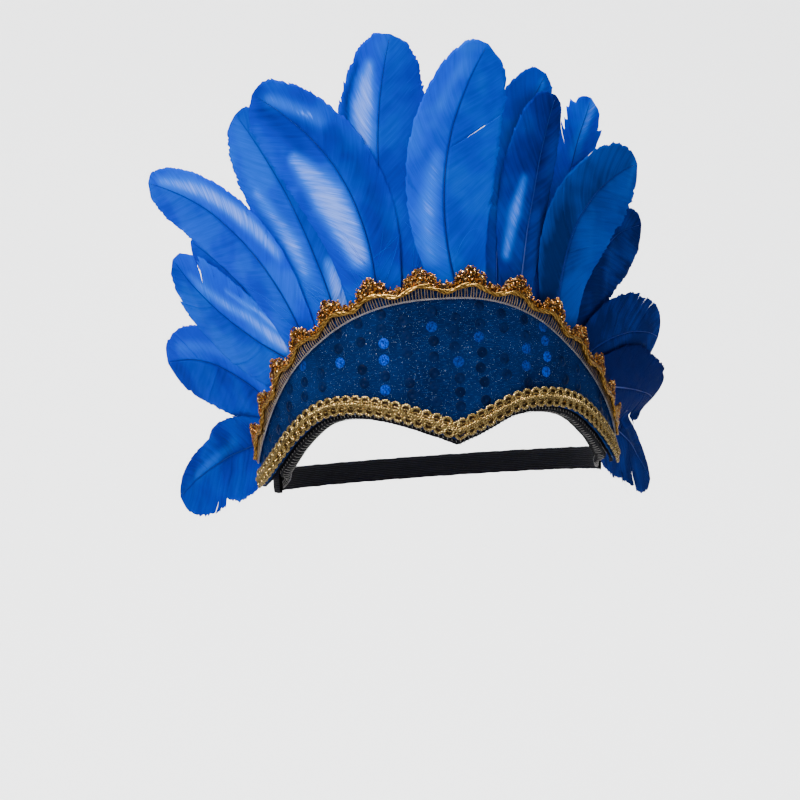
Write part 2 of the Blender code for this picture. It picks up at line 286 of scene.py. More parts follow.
def upright(line: dict[str, Array]) -> dict[str, Array]:
    """A line's arrays turned into columns, so that each point can carry a row of points."""
    return {key: value[:, None] for key, value in line.items() if key != "whole"}


def ribbon(line: dict[str, Array], height: Array, depth: Array) -> Array:
    """Points beside a line of the flat pattern, at a height along its normal, wrapped into space."""
    p = line["p"] + line["normal_p"] * height
    q = line["q"] + line["normal_q"] * height
    return PATTERN.wrap(p, q, depth)


# Mesh building


class Shape:
    """One mesh put together from grids and tubes: points, faces, face-corner UVs, tones and slots."""

    def __init__(self) -> None:
        """Starts empty."""
        self.points: list[Array] = []
        self.faces: list[Array] = []
        self.uvs: list[Array] = []
        self.tones: list[Array] = []
        self.slots: list[Array] = []
        self.count = 0

    def add(self, points: Array, faces: Array, uvs: Array, tone, slot: int = 0) -> None:
        """Adds faces of one size.

        Args:
            points: (n, 3) places.
            faces: (m, 3) or (m, 4) indices into points.
            uvs: (m, 3 or 4, 2) corner UVs.
            tone: one number, or one per point, or (n, 4) colours kept as the attribute "tone".
            slot: the material's place in the piece's list.
        """
        tones = np.asarray(tone, float)
        if tones.ndim < 2:
            tones = np.broadcast_to(tones.reshape(-1, 1), (len(points), 1)) * np.array([[1.0, 1.0, 1.0, 0.0]])
            tones = tones + np.array([[0.0, 0.0, 0.0, 1.0]])
        self.points.append(points)
        self.faces.append(faces + self.count)
        self.uvs.append(uvs)
        self.tones.append(np.broadcast_to(tones, (len(points), 4)))
        self.slots.append(np.full(len(faces), slot))
        self.count += len(points)

    def grid(self, points: Array, uv: Array, tone=0.0, slot: int = 0, around: bool = False) -> None:
        """Adds grids of quads, one or many.

        Args:
            points: (rows, columns, 3), or (many, rows, columns, 3).
            uv: the same shape with 2 last; with around, one column more.
            tone: a number, or one per point, or a colour per point.
            slot: the material's place.
            around: joins the last column to the first.
        """
        if points.ndim == 3:
            points, uv = points[None], uv[None]
        many, rows, columns = points.shape[:3]
        index = np.arange(many * rows * columns).reshape(many, rows, columns)
        right = np.roll(index, -1, axis=2) if around else index[:, :, 1:]
        left = index if around else index[:, :, :-1]
        faces = np.stack([left[:, :-1], right[:, :-1], right[:, 1:], left[:, 1:]], axis=-1).reshape(-1, 4)
        uv_left = uv[:, :, :-1]
        uv_right = uv[:, :, 1:]
        corners = np.stack([uv_left[:, :-1], uv_right[:, :-1], uv_right[:, 1:], uv_left[:, 1:]], axis=-2)
        tones = np.asarray(tone, float)
        if tones.ndim > 1:
            tones = tones.reshape(many * rows * columns, -1) if tones.shape[-1] == 4 else tones.reshape(-1)
        self.add(points.reshape(-1, 3), faces, corners.reshape(-1, 4, 2), tones, slot)

    def tubes(self, paths: Array, radius, sides: int, up: Array, tone=0.0, slot: int = 0) -> None:
        """Adds round tubes with closed ends.

        A point is path + r (cos a * side + sin a * lift), with side square to the path and to up.

        Args:
            paths: (many, steps, 3) centre lines.
            radius: a number, or one per point of the paths.
            sides: corners of the section.
            up: (many, steps, 3) or (3,), not along the path.
            tone: one number, or one per path.
            slot: the material's place.
        """
        many, steps = paths.shape[:2]
        along = unit(np.gradient(paths, axis=1))
        side = unit(np.cross(along, np.broadcast_to(up, paths.shape)))
        lift = np.cross(side, along)
        turn = TAU * np.arange(sides) / sides
        r = np.broadcast_to(np.asarray(radius, float), (many, steps))[..., None, None]
        around = np.cos(turn)[:, None] * side[:, :, None] + np.sin(turn)[:, None] * lift[:, :, None]
        rings = paths[:, :, None] + r * around
        run = np.concatenate(
            [np.zeros((many, 1)), np.cumsum(np.linalg.norm(np.diff(paths, axis=1), axis=-1), axis=1)], axis=1
        )
        uv = joined(run[:, :, None] / MM, (np.arange(sides + 1) / sides)[None, None])
        tones = np.broadcast_to(np.asarray(tone, float).reshape(-1, 1, 1), (many, steps, sides))
        start = self.count
        self.grid(rings[:, :, ::-1], uv, tones, slot, around=True)
        per = steps * sides
        first = start + np.arange(many)[:, None] * per + np.arange(sides)[None]
        last = first + (steps - 1) * sides
        caps = np.concatenate([paths[:, 0], paths[:, -1]])
        pole = self.count + np.arange(2 * many)
        ends = [
            np.stack([np.roll(first, -1, axis=1), first, np.broadcast_to(pole[:many, None], first.shape)], -1),
            np.stack([last, np.roll(last, -1, axis=1), np.broadcast_to(pole[many:, None], last.shape)], -1),
        ]
        faces = np.concatenate([e.reshape(-1, 3) for e in ends]) - self.count
        cap_tones = np.broadcast_to(np.asarray(tone, float).reshape(-1), (many,))
        self.add(caps, faces, np.zeros((len(faces), 3, 2)), np.concatenate([cap_tones, cap_tones]), slot)

    def sleeve(self, rings: Array, uv: Array, tone=0.0, slot: int = 0) -> None:
        """Adds a closed section carried along a line, its two ends closed by strips across the section.

        Args:
            rings: (steps, around, 3), with an even number of points around.
            uv: (steps, around + 1, 2).
            tone: one number for all points.
            slot: the material's place.
        """
        self.grid(rings, uv, tone, slot, around=True)
        half = rings.shape[1] // 2
        for ring, step in ((rings[0], 1), (rings[-1], -1)):
            strip = np.stack([ring[:half], ring[: half - 1 : -1]], axis=1)[:, ::step]
            self.grid(strip, np.zeros((*strip.shape[:2], 2)), tone, slot)

    def build(self, name: str, materials: list, smooth: bool = True, weld: float = 0.0) -> Piece:
        """Makes the object.

        Args:
            name: the piece's name.
            materials: its materials, in the order of the slots.
            smooth: smooth or flat shading.
            weld: distance within which points are made one, in metres.

        Returns:
            The object, linked into the scene.
        """
        mesh = bpy.data.meshes.new(name)
        points = np.concatenate(self.points)
        sizes = np.concatenate([np.full(len(f), f.shape[1]) for f in self.faces])
        corners = np.concatenate([f.reshape(-1) for f in self.faces])
        mesh.vertices.add(len(points))
        mesh.vertices.foreach_set("co", points.astype(np.float32).reshape(-1))
        mesh.loops.add(len(corners))
        mesh.loops.foreach_set("vertex_index", corners.astype(np.int32))
        mesh.polygons.add(len(sizes))
        mesh.polygons.foreach_set("loop_start", (np.cumsum(sizes) - sizes).astype(np.int32))
        mesh.polygons.foreach_set("material_index", np.concatenate(self.slots).astype(np.int32))
        mesh.polygons.foreach_set("use_smooth", np.full(len(sizes), smooth))
        layer = mesh.uv_layers.new(name="pattern")
        uvs = np.concatenate([u.reshape(-1, 2) for u in self.uvs])
        layer.data.foreach_set("uv", uvs.astype(np.float32).reshape(-1))
        tone = mesh.attributes.new("tone", "FLOAT_COLOR", "POINT")
        tone.data.foreach_set("color", np.concatenate(self.tones).astype(np.float32).reshape(-1))
        mesh.update(calc_edges=True)
        mesh.validate()
        for material in materials:
            mesh.materials.append(material)
        piece = bpy.data.objects.new(name, mesh)
        bpy.context.scene.collection.objects.link(piece)
        if weld:
            merge = piece.modifiers.new("Weld", "WELD")
            merge.merge_threshold = weld
        return piece


def thicken(piece: Piece, wall: float, offset: float = 0.0) -> None:
    """Gives an open sheet its wall with Solidify."""
    solid = piece.modifiers.new("Wall", "SOLIDIFY")
    solid.thickness = wall
    solid.offset = offset


# Shader helpers


class Nodes:
    """Short calls for building a node tree."""

    def __init__(self, tree: bpy.types.NodeTree) -> None:
        """Keeps the tree."""
        self.tree = tree

    def new(self, kind: str, inputs: dict | None = None, **settings) -> bpy.types.Node:
        """Adds a shader node by the end of its type's name, sets its properties, and links or sets its inputs."""
        node = self.tree.nodes.new("ShaderNode" + kind)
        for name, value in settings.items():
            setattr(node, name, value)
        for key, value in (inputs or {}).items():
            socket = node.inputs[key]
            if isinstance(value, Socket):
                self.tree.links.new(value, socket)
            else:
                socket.default_value = value
        return node

    def math(self, operation: str, a, b=0.0, c=0.0) -> Socket:
        """One Math node's value."""
        return self.new("Math", {0: a, 1: b, 2: c}, operation=operation).outputs[0]

    def times(self, a, b, c=0.0) -> Socket:
        """a times b, plus c."""
        return self.math("MULTIPLY_ADD", a, b, c)

    def ramp(self, value, low: float, high: float, to_low: float = 0.0, to_high: float = 1.0):
        """A clamped smooth Map Range's value."""
        node = self.new(
            "MapRange",
            {"Value": value, "From Min": low, "From Max": high, "To Min": to_low, "To Max": to_high},
            interpolation_type="SMOOTHSTEP",
        )
        return node.outputs["Result"]

    def mix(self, factor, a, b, blend: str = "MIX") -> Socket:
        """A colour Mix's result."""
        node = self.new("Mix", {0: factor, 6: a, 7: b}, data_type="RGBA", blend_type=blend)
        return node.outputs[2]

    def noise(self, vector, scale: float, detail: float = 2.0, roughness: float = 0.5):
        """A Noise texture's factor."""
        node = self.new(
            "TexNoise",
            {"Vector": vector, "Scale": scale, "Detail": detail, "Roughness": roughness},
        )
        return node.outputs["Fac"]

    def mapped(self, vector, scale: tuple, turn: tuple = (0.0, 0.0, 0.0)) -> Socket:
        """A Mapping node's vector."""
        node = self.new("Mapping", {"Vector": vector, "Rotation": turn, "Scale": scale})
        return node.outputs["Vector"]


class Group:
    """A shader node group with named inputs and outputs, that a subclass fills."""

    name = "group"
    inputs: tuple = ()
    outputs: tuple = ()

    def __init__(self) -> None:
        """Builds the group once."""
        self.tree = bpy.data.node_groups.new(self.name, "ShaderNodeTree")
        for label, kind, value in self.inputs:
            socket = self.tree.interface.new_socket(label, in_out="INPUT", socket_type=kind)
            if value is not None:
                socket.default_value = value
        for label, kind in self.outputs:
            self.tree.interface.new_socket(label, in_out="OUTPUT", socket_type=kind)
        nodes = Nodes(self.tree)
        source = self.tree.nodes.new("NodeGroupInput")
        drain = self.tree.nodes.new("NodeGroupOutput")
        made = self.fill(nodes, source.outputs)
        for label, socket in made.items():
            self.tree.links.new(socket, drain.inputs[label])

    def fill(self, nodes: Nodes, given) -> dict:
        """Makes the nodes and returns the sockets of the outputs."""
        raise NotImplementedError

    def place(self, nodes: Nodes, values: dict) -> bpy.types.Node:
        """Puts the group into a material with its values."""
        node = nodes.new("Group", node_tree=self.tree)
        for key, value in values.items():
            socket = node.inputs[key]
            if isinstance(value, Socket):
                nodes.tree.links.new(value, socket)
            else:
                socket.default_value = value
        return node


VECTOR = "NodeSocketVector"
FLOAT = "NodeSocketFloat"
COLOUR = "NodeSocketColor"


class BarbGroup(Group):
    """Streaks along a feather's barbs, from a UV of (place on rachis, along barb) in mm."""

    name = "barbs"
    inputs = (("UV", VECTOR, None), ("Spacing", FLOAT, 0.45))
    outputs = (("Streaks", FLOAT), ("Clumps", FLOAT), ("Height", FLOAT))

    def fill(self, nodes: Nodes, given) -> dict:
        """Fine streaks are noise squeezed across the barbs; clumps are the same, wider; height is a comb."""
        fine = nodes.noise(nodes.mapped(given["UV"], (2.1, 0.07, 1.0)), 1.0, 2.0, 0.6)
        clumps = nodes.noise(nodes.mapped(given["UV"], (0.34, 0.035, 1.0)), 1.0, 2.0, 0.5)
        parts = nodes.new("SeparateXYZ", {0: given["UV"]})
        turns = nodes.math("DIVIDE", parts.outputs[0], given["Spacing"])
        wander = nodes.times(clumps, 6.0, turns)
        comb = nodes.math("SINE", nodes.times(wander, TAU))
        height = nodes.times(comb, 0.25, nodes.times(clumps, 2.2, fine))
        return {"Streaks": fine, "Clumps": clumps, "Height": height}


class ThreadGroup(Group):
    """Twisted thread on a tube, from a UV of (length in mm, turn round the tube)."""

    name = "twisted thread"
    inputs = (("UV", VECTOR, None), ("Twist", FLOAT, 1.4), ("Strands", FLOAT, 3.0))
    outputs = (("Ply", FLOAT), ("Fibre", FLOAT), ("Height", FLOAT))

    def fill(self, nodes: Nodes, given) -> dict:
        """Ply is cos(2 pi (strands * turn - length / twist)); fibre is fine noise on the same helix."""
        parts = nodes.new("SeparateXYZ", {0: given["UV"]})
        around = nodes.times(parts.outputs[1], given["Strands"])
        helix = nodes.math("SUBTRACT", around, nodes.math("DIVIDE", parts.outputs[0], given["Twist"]))
        wave = nodes.math("COSINE", nodes.times(helix, TAU))
        ply = nodes.times(wave, 0.5, 0.5)
        fine = nodes.new("CombineXYZ", {0: nodes.times(helix, 7.0), 1: parts.outputs[0]})
        fibre = nodes.noise(nodes.mapped(fine.outputs[0], (1.0, 0.4, 1.0)), 1.0, 1.0)
        height = nodes.times(fibre, 0.35, ply)
        return {"Ply": ply, "Fibre": fibre, "Height": height}


class SpeckleGroup(Group):
    """Sparse glitter specks: small discs at the middles of some cells of a grid in mm."""

    name = "glitter specks"
    inputs = (("Vector", VECTOR, None), ("Cells", FLOAT, 0.8), ("Share", FLOAT, 0.3), ("Size", FLOAT, 0.18))
    outputs = (("Specks", FLOAT), ("Shade", FLOAT))

    def fill(self, nodes: Nodes, given) -> dict:
        """A speck is where the distance to the cell's point is below the size, in cells picked at random."""
        cells = nodes.new(
            "TexVoronoi", {"Vector": given["Vector"], "Scale": given["Cells"], "Randomness": 1.0}
        )
        pick = nodes.new("SeparateColor", {0: cells.outputs["Color"]})
        chosen = nodes.math("LESS_THAN", pick.outputs[0], given["Share"])
        size = nodes.times(given["Size"], nodes.math("ADD", pick.outputs[1], 0.35))
        near = nodes.math("LESS_THAN", cells.outputs["Distance"], size)
        return {"Specks": nodes.times(chosen, near), "Shade": pick.outputs[2]}


class WearGroup(Group):
    """Uneven dye and dust: broad and middling noise on object coordinates, in metres."""

    name = "uneven dye"
    inputs = (("Vector", VECTOR, None), ("Size", FLOAT, 60.0))
    outputs = (("Broad", FLOAT), ("Fine", FLOAT))

    def fill(self, nodes: Nodes, given) -> dict:
        """Two noises, the second twelve times finer."""
        broad = nodes.noise(given["Vector"], given["Size"], 2.0)
        fine = nodes.noise(given["Vector"], nodes.times(given["Size"], 12.0), 3.0)
        return {"Broad": broad, "Fine": fine}


class Workshop:
    """The shared node groups, each built once."""

    def __init__(self) -> None:
        """Builds all groups."""
        self.barbs = BarbGroup()
        self.thread = ThreadGroup()
        self.specks = SpeckleGroup()
        self.wear = WearGroup()


SHOP = Workshop()


class Finish:
    """A material with one Principled shader. A subclass wires its colour, roughness and bump."""

    name = "finish"
    metallic = 0.0
    sockets: dict = {}
    bump = 0.5
    relief = 0.0002

    def make(self) -> bpy.types.Material:
        """Builds the material."""
        material = bpy.data.materials.new(self.name)
        material.use_nodes = True
        nodes = Nodes(material.node_tree)
        shader = material.node_tree.nodes["Principled BSDF"]
        shader.inputs["Metallic"].default_value = self.metallic
        for key, value in self.sockets.items():
            shader.inputs[key].default_value = value
        coordinates = nodes.new("TexCoord")
        uv = nodes.new("UVMap", uv_map="pattern").outputs[0]
        tone = nodes.new("Attribute", attribute_name="tone", attribute_type="GEOMETRY")
        made = self.wire(nodes, coordinates.outputs["Object"], uv, tone)
        height = made.pop("Height", None)
        if height is not None:
            values = {"Height": height, "Strength": self.bump, "Distance": self.relief}
            made["Normal"] = nodes.new("Bump", values).outputs[0]
        for key, socket in made.items():
            material.node_tree.links.new(socket, shader.inputs[key])
        return material

    def wire(self, nodes: Nodes, place, uv, tone) -> dict:
        """Returns the sockets that feed the shader, and Height for the bump."""
        raise NotImplementedError


@dataclass(frozen=True)
class DyeAndPaintedLight:
    """The colours of the dyed feathers, as linear red, green and blue. The navy and teal also stand for painted
    shade, and the two lightest colours are the painted highlights of the satin sheen.
    """

    royal: tuple = (0.0, 0.038, 0.66, 1.0)
    azure: tuple = (0.0, 0.085, 0.66, 1.0)
    # navy and teal: the deep dye, also standing for painted shade
    navy: tuple = (0.0001, 0.0035, 0.060, 1.0)
    teal: tuple = (0.0001, 0.012, 0.090, 1.0)
    # painted highlight: the soft light blue glow round the satin sheen
    sky: tuple = (0.006, 0.15, 0.86, 1.0)
    # painted highlight: the pale lavender core of the satin sheen
    pale: tuple = (0.22, 0.36, 1.0, 1.0)


DYE_AND_PAINTED_LIGHT = DyeAndPaintedLight()


class FeatherFinish(Finish):
    """Dyed goose feather: tone.r is how dark, partly the dye and partly painted shade; tone.g is how pale, the
    painted highlights of the satin sheen and the paler base; tone.b is how green the blue is.
    """

    name = "dyed feather with painted sheen"
    sockets = {
        "Specular IOR Level": 0.008,
        "Specular Tint": (0.35, 0.55, 1.0, 1.0),
    }
    bump = 0.4
    relief = 0.00025

    def wire(self, nodes: Nodes, place, uv, tone) -> dict:
        """Light to dark by tone and clumps, the dark partly dye and partly painted shade, then the painted
        highlights: a soft light blue glow, and pale streaks where the mask and the barbs meet.
        """
        barbs = SHOP.barbs.place(nodes, {"UV": uv}).outputs
        wear = SHOP.wear.place(nodes, {"Vector": place, "Size": 45.0}).outputs
        parts = nodes.new("SeparateColor", {0: tone.outputs["Color"]}).outputs
        # tone.r: the dye's depth and painted shade, on the feathers to the right and along painted shadow lines
        dark = nodes.times(nodes.ramp(barbs["Clumps"], 0.35, 0.7), 0.11, parts[0])
        dark = nodes.times(nodes.ramp(wear["Broad"], 0.35, 0.7), 0.16, dark)
        dark = nodes.new("Clamp", {0: dark}).outputs[0]
        drift = nodes.ramp(wear["Broad"], 0.62, 0.38, -0.25, 0.45)
        azure = nodes.new("Clamp", {0: nodes.math("ADD", parts[2], drift)}).outputs[0]
        light_dye = nodes.mix(azure, DYE_AND_PAINTED_LIGHT.royal, DYE_AND_PAINTED_LIGHT.azure)
        # the deep colours stand for dark dye and for painted shade
        deep_dye_and_shade = nodes.mix(parts[2], DYE_AND_PAINTED_LIGHT.navy, DYE_AND_PAINTED_LIGHT.teal)
        blue = nodes.mix(dark, light_dye, deep_dye_and_shade)
        streaks = nodes.times(barbs["Streaks"], 0.45, nodes.times(barbs["Clumps"], 0.55))
        reach = nodes.math("ADD", parts[1], nodes.times(nodes.math("SUBTRACT", streaks, 0.5), 2.0))
        # painted highlight: a light blue glow where tone.g is raised, by the painted sheen and at the paler base
        near = nodes.ramp(parts[1], 0.02, 0.75, 0.0, 0.9)
        colour = nodes.mix(near, blue, DYE_AND_PAINTED_LIGHT.sky)
        # painted highlight: pale lavender streaks of the satin sheen along the barbs
        pale = nodes.times(nodes.ramp(reach, 0.30, 1.35, 0.0, 0.92), nodes.ramp(parts[1], 0.15, 0.65))
        colour = nodes.mix(pale, colour, DYE_AND_PAINTED_LIGHT.pale)
        fleck = nodes.ramp(barbs["Streaks"], 0.25, 0.75, 0.90, 1.08)
        shade = nodes.new("CombineColor", {0: fleck, 1: fleck, 2: fleck}).outputs[0]
        colour = nodes.mix(1.0, colour, shade, "MULTIPLY")
        rough = nodes.ramp(barbs["Streaks"], 0.2, 0.8, 0.34, 0.50)
        return {"Base Color": colour, "Roughness": rough, "Height": barbs["Height"]}


class RachisFinish(Finish):
    """The feather's shaft: smooth horn, dyed dark, paler where tone.g asks."""

    name = "dyed shaft"
    sockets = {"Specular IOR Level": 0.10}
    bump = 0.3

    def wire(self, nodes: Nodes, place, uv, tone) -> dict:
        """Dark blue to pale by the tone, with long fine streaks."""
        parts = nodes.new("SeparateColor", {0: tone.outputs["Color"]}).outputs
        streak = nodes.noise(nodes.mapped(uv, (0.12, 9.0, 1.0)), 1.0, 2.0)
        dark = nodes.mix(streak, (0.0005, 0.005, 0.07, 1), (0.001, 0.018, 0.22, 1))
        colour = nodes.mix(parts[1], dark, (0.25, 0.38, 0.85, 1))
        return {"Base Color": colour, "Roughness": nodes.ramp(streak, 0.2, 0.8, 0.28, 0.42), "Height": streak}


class SequinClothFinish(Finish):
    """Navy knit with a metallic thread through it, its sheen painted as lighter blue, and sparse glitter painted
    as bright glints.
    """

    name = "speckled navy knit"
    sockets = {"Specular IOR Level": 0.02}
    bump = 0.5
    relief = 0.00015

    def wire(self, nodes: Nodes, place, uv, tone) -> dict:
        """Courses and wales of the knit as crossed waves, painted sheen on the knit, glitter specks painted as
        glints, uneven dye; tone.r makes the lowest rows near black.
        """
        parts = nodes.new("SeparateXYZ", {0: uv}).outputs
        courses = nodes.math("SINE", nodes.times(parts[1], TAU / 0.62))
        wobble = nodes.times(courses, 0.12, parts[0])
        wales = nodes.math("SINE", nodes.times(wobble, TAU / 0.78))
        knit = nodes.times(nodes.times(courses, wales), 0.25, 0.5)
        wear = SHOP.wear.place(nodes, {"Vector": place, "Size": 30.0}).outputs
        # painted sheen: lighter blue on the knit where the metallic thread catches the light
        shine = nodes.noise(nodes.mapped(uv, (0.35, 2.6, 1.0)), 1.0, 3.0, 0.6)
        broad = nodes.ramp(wear["Broad"], 0.3, 0.7)
        base = nodes.mix(broad, (0.0005, 0.0065, 0.040, 1), (0.0009, 0.0130, 0.076, 1))
        lit = nodes.mix(nodes.times(nodes.ramp(shine, 0.5, 0.72), knit), base, (0.003, 0.045, 0.22, 1))
        # painted glints: glitter specks painted bright, from blue to white
        small = SHOP.specks.place(nodes, {"Vector": uv, "Cells": 2.4, "Share": 0.66, "Size": 0.125}).outputs
        large = SHOP.specks.place(nodes, {"Vector": uv, "Cells": 0.42, "Share": 0.40, "Size": 0.050}).outputs
        glint = nodes.mix(small["Shade"], (0.12, 0.28, 0.62, 1), (0.75, 0.86, 1.0, 1))
        with_small = nodes.mix(small["Specks"], lit, glint)
        colour = nodes.mix(large["Specks"], with_small, (0.92, 0.96, 1.0, 1))
        # the lowest rows of the cloth are made near black
        near_black_rows = nodes.new("SeparateColor", {0: tone.outputs["Color"]}).outputs[0]
        colour = nodes.mix(near_black_rows, colour, (0.002, 0.002, 0.004, 1))
        bright = nodes.math("MAXIMUM", small["Specks"], large["Specks"])
        rough = nodes.times(bright, -0.3, 0.55)
        return {"Base Color": colour, "Roughness": rough, "Height": knit}


class SequinFinish(Finish):
    """Sequin film: glossy dark blue plastic with a metal backing; tone.r paints it bright, a painted reflection of
    the lamp.
    """

    name = "sequin film"
    sockets = {"Specular IOR Level": 0.06}
    bump = 0.5
    relief = 0.0001

    def wire(self, nodes: Nodes, place, uv, tone) -> dict:
        """Dark to bright blue by the tone, the bright blue a painted reflection, with faint scratches and a
        mottled backing.
        """
        parts = nodes.new("SeparateColor", {0: tone.outputs["Color"]}).outputs
        wear = SHOP.wear.place(nodes, {"Vector": place, "Size": 110.0}).outputs
        broad, mottled = nodes.ramp(wear["Broad"], 0.3, 0.7), nodes.ramp(wear["Fine"], 0.38, 0.60)
        dark = nodes.mix(broad, (0.0003, 0.0046, 0.030, 1), (0.0006, 0.0100, 0.060, 1))
        # painted reflection: the bright blue of sequins that catch the lamp
        bright = nodes.mix(mottled, (0.0003, 0.014, 0.18, 1), (0.0008, 0.085, 0.80, 1))
        colour = nodes.mix(parts[0], dark, bright)
        return {
            "Base Color": colour,
            "Metallic": nodes.times(parts[0], 0.2),
            "Roughness": nodes.ramp(wear["Fine"], 0.3, 0.7, 0.26, 0.42),
            "Height": wear["Fine"],
        }


@dataclass(frozen=True)
class ThreadColours:
    """Low and high colours of a metallic thread, the low a painted shade in the grooves and the high a painted
    highlight on the plies, with its roughness and metalness.
    """

    low: tuple
    high: tuple
    rough: float
    metal: float


class ThreadFinish(Finish):
    """Metal-wrapped thread, twisted."""

    bump = 0.35
    relief = 0.00025

    def __init__(self, name: str, colours: ThreadColours, twist: float, strands: float) -> None:
        """Keeps the name, the colours, the length of a twist in mm and the strands."""
        self.name = name
        self.metallic = colours.metal
        self.colours = colours
        self.twist = twist
        self.strands = strands

    def wire(self, nodes: Nodes, place, uv, tone) -> dict:
        """Low colour in the grooves as painted shade, high on the plies as painted highlight, and brighter wraps
        by the fibre noise.
        """
        thread = SHOP.thread.place(nodes, {"UV": uv, "Twist": self.twist, "Strands": self.strands}).outputs
        wear = SHOP.wear.place(nodes, {"Vector": place, "Size": 160.0}).outputs
        # painted shade in the grooves and painted highlight on the plies
        lift = nodes.times(thread["Fibre"], 0.5, nodes.times(thread["Ply"], 0.6))
        colour = nodes.mix(nodes.ramp(lift, 0.2, 0.8), (*self.colours.low, 1), (*self.colours.high, 1))
        aged = nodes.mix(nodes.ramp(wear["Broad"], 0.45, 0.75, 0.0, 0.45), colour, (*self.colours.low, 1))
        rough = nodes.ramp(thread["Fibre"], 0.2, 0.8, self.colours.rough - 0.08, self.colours.rough + 0.12)
        return {"Base Color": aged, "Roughness": rough, "Height": thread["Height"]}


class BeadFinish(Finish):
    """Copper glitter beads: tone.r picks the shade from brown copper to bright gold."""

    name = "copper glitter"
    metallic = 0.9
    sockets = {"Coat Weight": 0.4, "Coat Roughness": 0.1}

    def wire(self, nodes: Nodes, place, uv, tone) -> dict:
        """Three shades by the tone, rougher where dusty."""
        parts = nodes.new("SeparateColor", {0: tone.outputs["Color"]}).outputs
        wear = SHOP.wear.place(nodes, {"Vector": place, "Size": 300.0}).outputs
        warm = nodes.mix(nodes.ramp(parts[0], 0.0, 0.6), (0.10, 0.028, 0.004, 1), (0.70, 0.27, 0.035, 1))
        colour = nodes.mix(nodes.ramp(parts[0], 0.60, 0.95), warm, (0.98, 0.64, 0.22, 1))
        return {"Base Color": colour, "Roughness": nodes.ramp(wear["Broad"], 0.3, 0.7, 0.16, 0.34)}


class FeltFinish(Finish):
    """Black needle felt: matted short fibres."""

    name = "black felt"
    sockets = {"Sheen Weight": 0.01, "Sheen Roughness": 0.5, "Specular IOR Level": 0.05}
    bump = 0.9
    relief = 0.0004

    def wire(self, nodes: Nodes, place, uv, tone) -> dict:
        """Fibres from two noises squeezed in crossed directions, and grey lint."""
        first = nodes.noise(nodes.mapped(place, (900.0, 220.0, 420.0), (0.3, 0.5, 0.2)), 1.0, 3.0, 0.65)
        second = nodes.noise(nodes.mapped(place, (260.0, 900.0, 700.0), (0.9, 0.1, 0.7)), 1.0, 3.0, 0.65)
        fibres = nodes.math("MAXIMUM", first, second)
        lint = nodes.ramp(fibres, 0.66, 0.78)
        base = nodes.mix(nodes.ramp(fibres, 0.35, 0.7), (0.0015, 0.0015, 0.002, 1), (0.008, 0.008, 0.010, 1))
        colour = nodes.mix(lint, base, (0.03, 0.03, 0.034, 1))
        return {"Base Color": colour, "Roughness": nodes.ramp(fibres, 0.3, 0.7, 0.98, 0.86), "Height": fibres}


class ElasticFinish(Finish):
    """Woven black elastic: lengthwise rubber ribs, crossed by the weft."""

    name = "woven elastic"
    sockets = {"Specular IOR Level": 0.1}
    bump = 0.8
    relief = 0.0003

    def wire(self, nodes: Nodes, place, uv, tone) -> dict:
        """Ribs across the width and a plain weave along it, from the UV in mm."""
        parts = nodes.new("SeparateXYZ", {0: uv}).outputs
        ribs = nodes.math("ABSOLUTE", nodes.math("SINE", nodes.times(parts[1], math.pi / 0.9)))
        weft = nodes.math("SINE", nodes.times(parts[0], TAU / 0.55))
        weave = nodes.times(nodes.times(weft, ribs), 0.3, ribs)
        wear = SHOP.wear.place(nodes, {"Vector": place, "Size": 90.0}).outputs
        colour = nodes.mix(nodes.ramp(weave, 0.0, 1.2), (0.0015, 0.0015, 0.002, 1), (0.012, 0.012, 0.015, 1))
        colour = nodes.mix(nodes.ramp(wear["Fine"], 0.62, 0.75, 0.0, 0.4), colour, (0.035, 0.035, 0.04, 1))
        return {"Base Color": colour, "Roughness": nodes.ramp(ribs, 0.0, 1.0, 0.85, 0.6), "Height": weave}


class Thread(Enum):
    """The named threads of the trims."""

    GIMP = "gold gimp cord"
    GIMP_GROUND = "gimp ground"
    GOLD_CORD = "smooth gold cord"
    SILVER = "pale metal thread"
    BRONZE = "bronze thread"
    OVERLOCK = "grey overlock thread"


THREADS = {
    Thread.GIMP: (ThreadColours((0.09, 0.048, 0.008), (0.98, 0.70, 0.26), 0.20, 0.94), 1.1, 3.0),
    Thread.GIMP_GROUND: (ThreadColours((0.010, 0.005, 0.001), (0.08, 0.040, 0.008), 0.45, 0.6), 1.0, 3.0),
    Thread.GOLD_CORD: (ThreadColours((0.20, 0.09, 0.014), (0.84, 0.48, 0.11), 0.22, 0.92), 3.0, 3.0),
    Thread.SILVER: (ThreadColours((0.03, 0.028, 0.03), (0.66, 0.60, 0.60), 0.30, 0.6), 1.6, 2.0),
    Thread.BRONZE: (ThreadColours((0.07, 0.040, 0.018), (0.62, 0.44, 0.24), 0.32, 0.8), 0.9, 3.0),
    Thread.OVERLOCK: (ThreadColours((0.05, 0.05, 0.05), (0.20, 0.19, 0.18), 0.7, 0.0), 0.8, 2.0),
}


class Finishes:
    """All materials of the headdress, made once."""

    def __init__(self) -> None:
        """Makes each material."""
        self.feather = FeatherFinish().make()
        self.rachis = RachisFinish().make()
        self.cloth = SequinClothFinish().make()
        self.sequin = SequinFinish().make()
        self.bead = BeadFinish().make()
        self.felt = FeltFinish().make()
        self.elastic = ElasticFinish().make()
        self.threads = {kind: ThreadFinish(kind.value, *values).make() for kind, values in THREADS.items()}


def dress(piece: Piece, slot: str, *nodes: str) -> Piece:
    """Rides the piece on the root and hides the CAD nodes it stands for.

    Args:
        piece: the finished object.
        slot: the record's material slot; not used.
        nodes: the CAD nodes it replaces, if any.

    Returns:
        The same object.
    """
    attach(piece, "root")
    if nodes:
        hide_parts(*nodes)
    LOG.info("%s: %d faces", piece.name, len(piece.data.polygons))
    return piece


# The band


